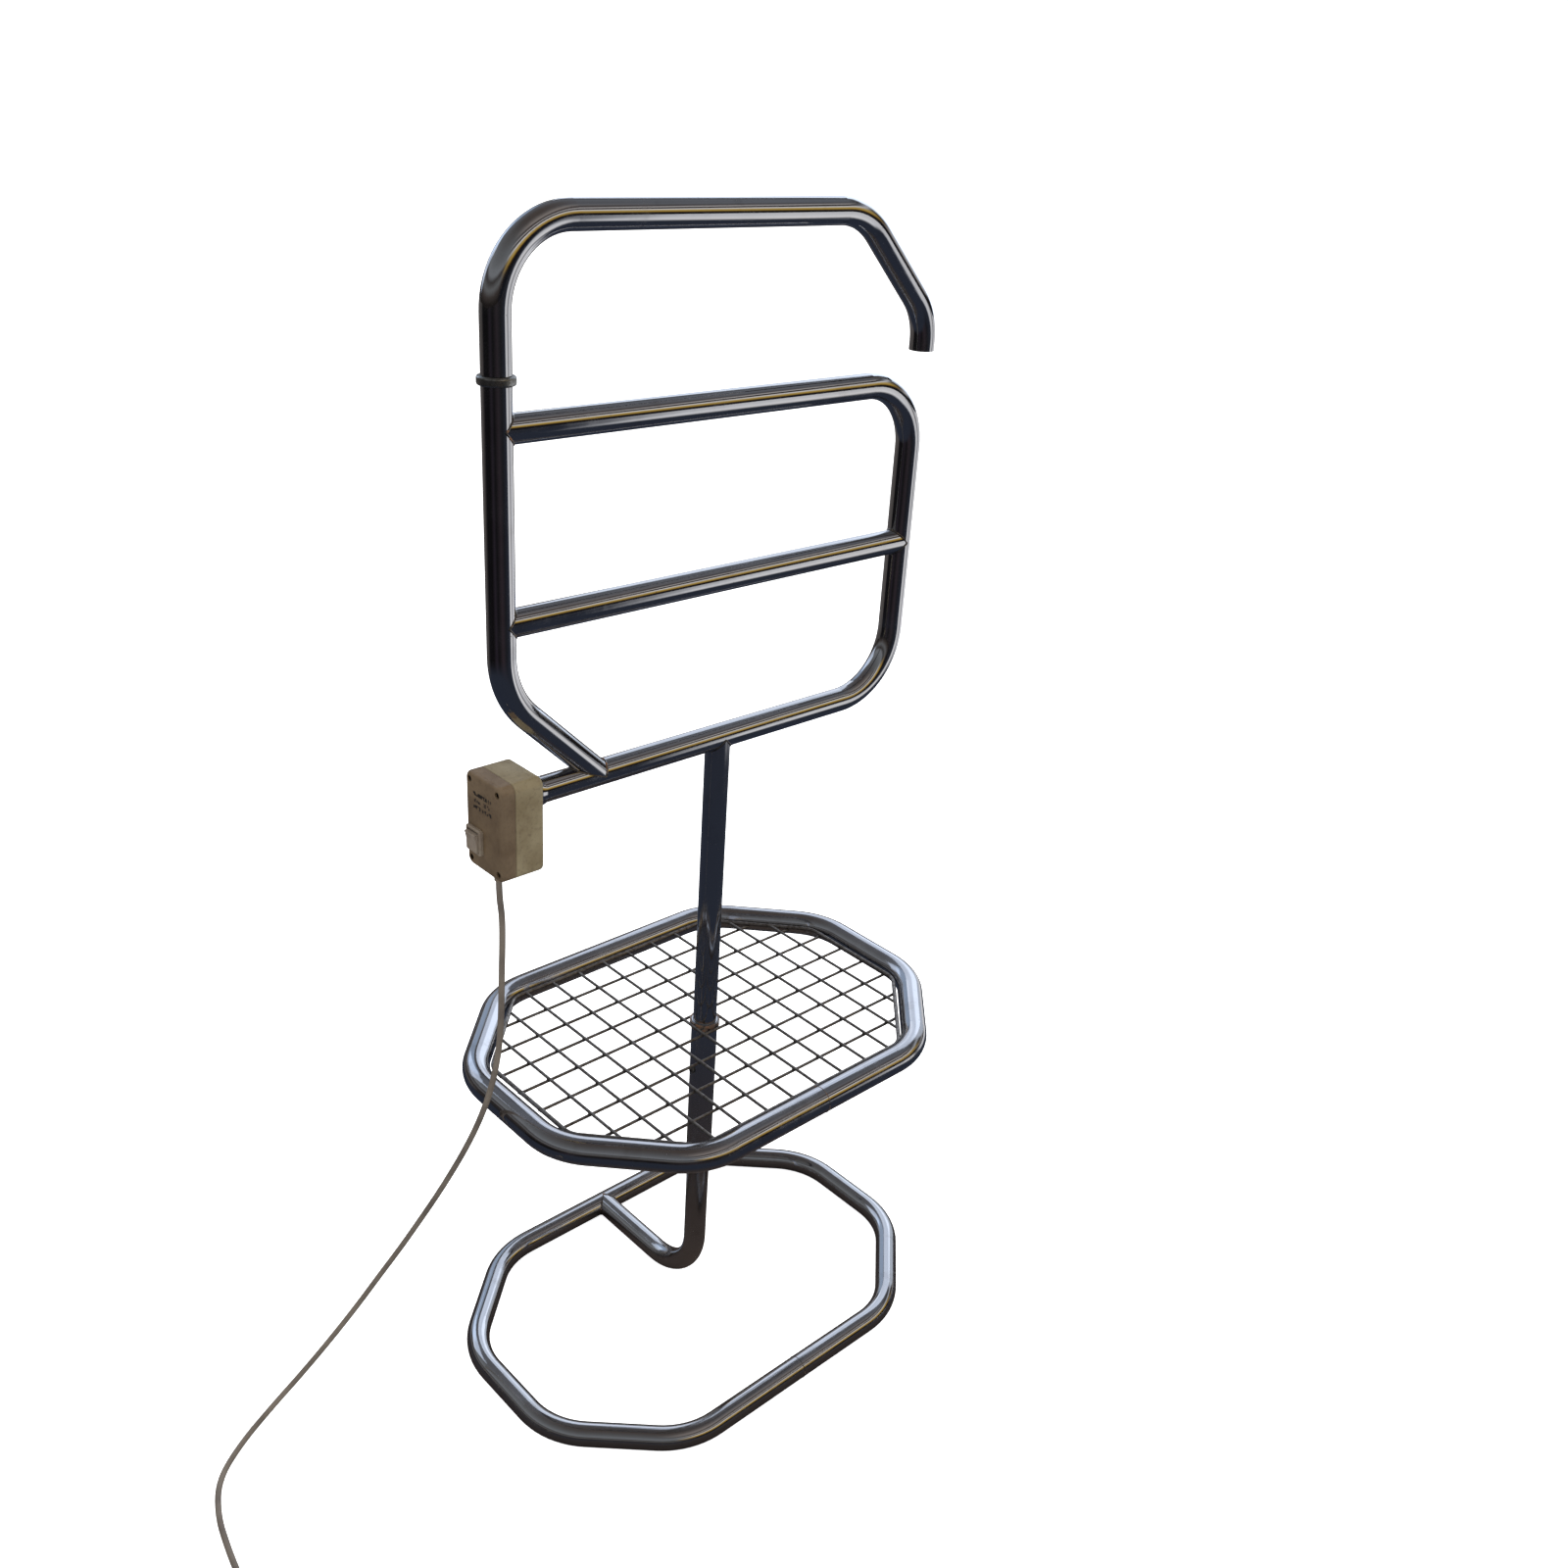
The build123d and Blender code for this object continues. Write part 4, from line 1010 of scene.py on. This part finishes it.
@dataclass
class Studio:
    """The camera, soft lamps and a pale floor, with a darker room that only mirror rays see."""

    eye: Vector = field(default_factory=lambda: Vector((-0.9056, -1.0175, 1.3111)))
    turn_deg: tuple[float, float, float] = (64.651, -3.541, -42.856)
    lens_mm: float = 34.67
    sensor_mm: float = 36.0
    floor_half: float = 30.0
    seen_white: float = 1.1
    floor_glow: float = 0.8

    def build(self) -> None:
        """Makes the camera, the floor, the lights and the surroundings."""
        self.add_camera()
        self.add_floor()
        self.add_lights()
        self.add_surroundings()
        bpy.context.scene.view_settings.view_transform = "Standard"

    def add_camera(self) -> None:
        """Puts the camera where the object is seen from."""
        data = bpy.data.cameras.new("camera")
        data.sensor_width = self.sensor_mm
        data.lens = self.lens_mm
        camera = bpy.data.objects.new("camera", data)
        camera.location = self.eye
        camera.rotation_euler = Euler([math.radians(v) for v in self.turn_deg])
        bpy.context.scene.collection.objects.link(camera)
        bpy.context.scene.camera = camera

    def add_floor(self) -> None:
        """Makes a wide flat floor: pale to the eye, and a dim floor with bright windows to the chrome."""
        deselect_all()
        bpy.ops.mesh.primitive_plane_add(size=2 * self.floor_half)
        floor = bpy.context.object
        floor.name = "studio_floor"
        material = bpy.data.materials.new("studio_floor")
        material.use_nodes = True
        tree = material.node_tree
        shader = tree.nodes["Principled BSDF"]
        place = add_node(tree, "TexCoord").outputs["Object"]
        grain = add_node(tree, "TexNoise", {"Vector": place}, inputs={"Scale": 2.0, "Detail": 3.0})
        tone = ramp(tree, grain.outputs["Fac"], [(0.3, "f4f4f5"), (0.7, "f8f8f8")])
        rays = add_node(tree, "LightPath")
        turn = add_node(tree, "TexGradient", {"Vector": place}, gradient_type="RADIAL").outputs["Fac"]
        far = ramp(tree, turn, [
            (0.0, "0f0c10"), (0.05, "2c2530"), (0.10, "121015"), (0.18, "352c33"), (0.25, "1d1f27"),
            (0.345, "2c3342"), (0.36, "f4f7fb"), (0.40, "ffffff"), (0.42, "6d7076"), (0.45, "f4f6fa"),
            (0.55, "ffffff"), (0.58, "55555a"), (0.64, "3c3a3c"), (0.72, "6a6664"), (0.86, "55504e"),
            (0.90, "121015"), (1.0, "0f0c10"),
        ])
        away = add_node(tree, "VectorMath", {0: place}, operation="LENGTH").outputs["Value"]
        metres = add_node(tree, "MapRange", {"Value": away}, inputs={"From Max": 2.0})
        near = ramp(tree, metres.outputs["Result"], [(0.0, "4d443f"), (0.12, "3b3533"), (0.28, "2a303d")])
        beyond = add_node(tree, "MapRange", {"Value": away}, inputs={"From Min": 1.5, "From Max": 2.2})
        mirrored = mix_colours(tree, beyond.outputs["Result"], near, far)
        tone = mix_colours(tree, rays.outputs["Is Glossy Ray"], tone, mirrored)
        tree.links.new(tone, shader.inputs["Base Color"])
        shader.inputs["Emission Color"].default_value = (1.0, 1.0, 1.0, 1.0)
        glow = add_node(tree, "Math", {0: rays.outputs["Is Camera Ray"]}, operation="MULTIPLY")
        glow.inputs[1].default_value = self.seen_white * self.floor_glow
        tree.links.new(glow.outputs[0], shader.inputs["Emission Strength"])
        shader.inputs["Roughness"].default_value = 0.95
        shader.inputs["Specular IOR Level"].default_value = 0.1
        dress(floor, material)

    def add_lights(self) -> None:
        """Adds large soft lamps: two windows that the chrome mirrors, one overhead and a fill."""
        lamps = {
            "window_right": ((1.9, 1.3, 1.7), (2.2, 1.8), 15.0, "dbe8fb"),
            "window_back": ((-0.6, 2.6, 1.9), (1.6, 1.4), 7.0, "d3e3fa"),
            "overhead": ((0.1, -0.4, 3.1), (2.6, 2.6), 34.0, "fff6ea"),
            "fill_left": ((-2.4, -0.6, 1.5), (1.2, 1.6), 2.0, "fff2e2"),
        }
        for name, (place, size, watts, colour) in lamps.items():
            data = bpy.data.lights.new(name, "AREA")
            data.shape = "RECTANGLE"
            data.size, data.size_y = size
            data.energy = watts
            data.color = linear(colour)[:3]
            lamp = bpy.data.objects.new(name, data)
            lamp.location = place
            aim = Vector((0, 0, 0.6)) - Vector(place)
            lamp.rotation_euler = aim.to_track_quat("-Z", "Y").to_euler()
            lamp.visible_glossy = name.startswith("window")
            bpy.context.scene.collection.objects.link(lamp)

    def add_surroundings(self) -> None:
        """Makes white light for the eye and the floor, and a dim room for the chrome to mirror."""
        world = bpy.data.worlds.new("surroundings")
        bpy.context.scene.world = world
        world.use_nodes = True
        tree = world.node_tree
        background = tree.nodes["Background"]
        way = add_node(tree, "TexCoord").outputs["Generated"]
        height = add_node(tree, "SeparateXYZ", {"Vector": way}).outputs["Z"]
        share = add_node(tree, "MapRange", {"Value": height}, inputs={"From Min": -1.0, "From Max": 1.0})
        room = ramp(tree, share.outputs["Result"], [
            (0.0, "2c3340"), (0.49, "262b36"), (0.5, "1b191b"), (0.54, "2b2624"), (0.57, "d8d6d5"),
            (0.60, "8d8784"), (0.62, "332b28"), (0.70, "4b4745"), (0.73, "d9dde2"), (0.76, "9aa0a8"),
            (0.79, "474443"), (0.86, "777c84"), (1.0, "5a524d"),
        ])
        front = ramp(tree, share.outputs["Result"], [
            (0.0, "2c3340"), (0.5, "1d2028"), (0.57, "231d1b"), (0.60, "7a5f2c"), (0.625, "cfa94a"),
            (0.69, "dcc486"), (0.70, "ffffff"), (0.73, "f2efec"), (0.745, "2b2220"), (0.78, "3a302c"),
            (0.80, "e8e6e4"), (0.82, "8a8482"), (0.85, "3a302c"), (0.90, "a49c96"), (1.0, "5a524d"),
        ])
        left = ramp(tree, share.outputs["Result"], [
            (0.0, "2c3340"), (0.5, "2a2624"), (0.55, "4d4744"), (0.60, "787a7b"), (0.66, "3f3a38"),
            (0.70, "8f9397"), (0.80, "7c8083"), (1.0, "55504d"),
        ])
        parts = add_node(tree, "SeparateXYZ", {"Vector": way}).outputs
        ahead = add_node(tree, "MapRange", {"Value": parts["Y"]},
                         inputs={"From Min": -0.15, "From Max": -0.45})
        room = mix_colours(tree, ahead.outputs["Result"], room, front)
        aside = add_node(tree, "MapRange", {"Value": parts["X"]},
                         inputs={"From Min": -0.05, "From Max": -0.40})
        room = mix_colours(tree, aside.outputs["Result"], room, left)
        window = self.patch(tree, way, (0.90, 0.30, 0.30), 0.93, 0.95)
        room = mix_colours(tree, window, room, "dfeaf8")
        sky = self.patch(tree, way, (0.10, 0.90, 0.42), 0.95, 0.965)
        room = mix_colours(tree, sky, room, "b4c8e2")
        rays = add_node(tree, "LightPath")
        seen = mix_colours(tree, rays.outputs["Is Glossy Ray"], "ffffff", room)
        tree.links.new(seen, background.inputs["Color"])
        strength = add_node(tree, "MapRange", {"Value": rays.outputs["Is Camera Ray"]},
                            inputs={"To Min": 1.0, "To Max": self.seen_white})
        tree.links.new(strength.outputs["Result"], background.inputs["Strength"])

    def patch(self, tree: bpy.types.NodeTree, way: bpy.types.NodeSocket, towards: tuple[float, float, float],
              outer: float, inner: float) -> bpy.types.NodeSocket:
        """Marks a round patch of the surroundings.

        Args:
            tree: the world's node tree.
            way: the direction that is looked in.
            towards: the patch's middle, as a direction.
            outer: cosine at which the patch begins.
            inner: cosine at which it is full.

        Returns:
            A value from 0 outside the patch to 1 inside it.
        """
        middle = Vector(towards).normalized()
        dot = add_node(tree, "VectorMath", {0: way}, operation="DOT_PRODUCT", inputs={1: middle})
        node = add_node(tree, "MapRange", {"Value": dot.outputs["Value"]},
                        inputs={"From Min": outer, "From Max": inner})
        return node.outputs["Result"]


def main() -> None:
    """Builds the object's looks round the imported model, sub-assembly by sub-assembly."""
    logging.basicConfig(level=logging.INFO, format="%(name)s %(message)s")
    random.seed(7)
    finishes = Finishes()
    Studio().build()
    for kind in (Stand, Tray, Rack, SwingArm, ControlBox, MainsLead):
        part = kind(finishes)
        part.dress()
        made = part.build()
        report(kind.__name__, f"{len(made)} pieces beside the packed nodes")


if __name__ == "__main__":
    main()
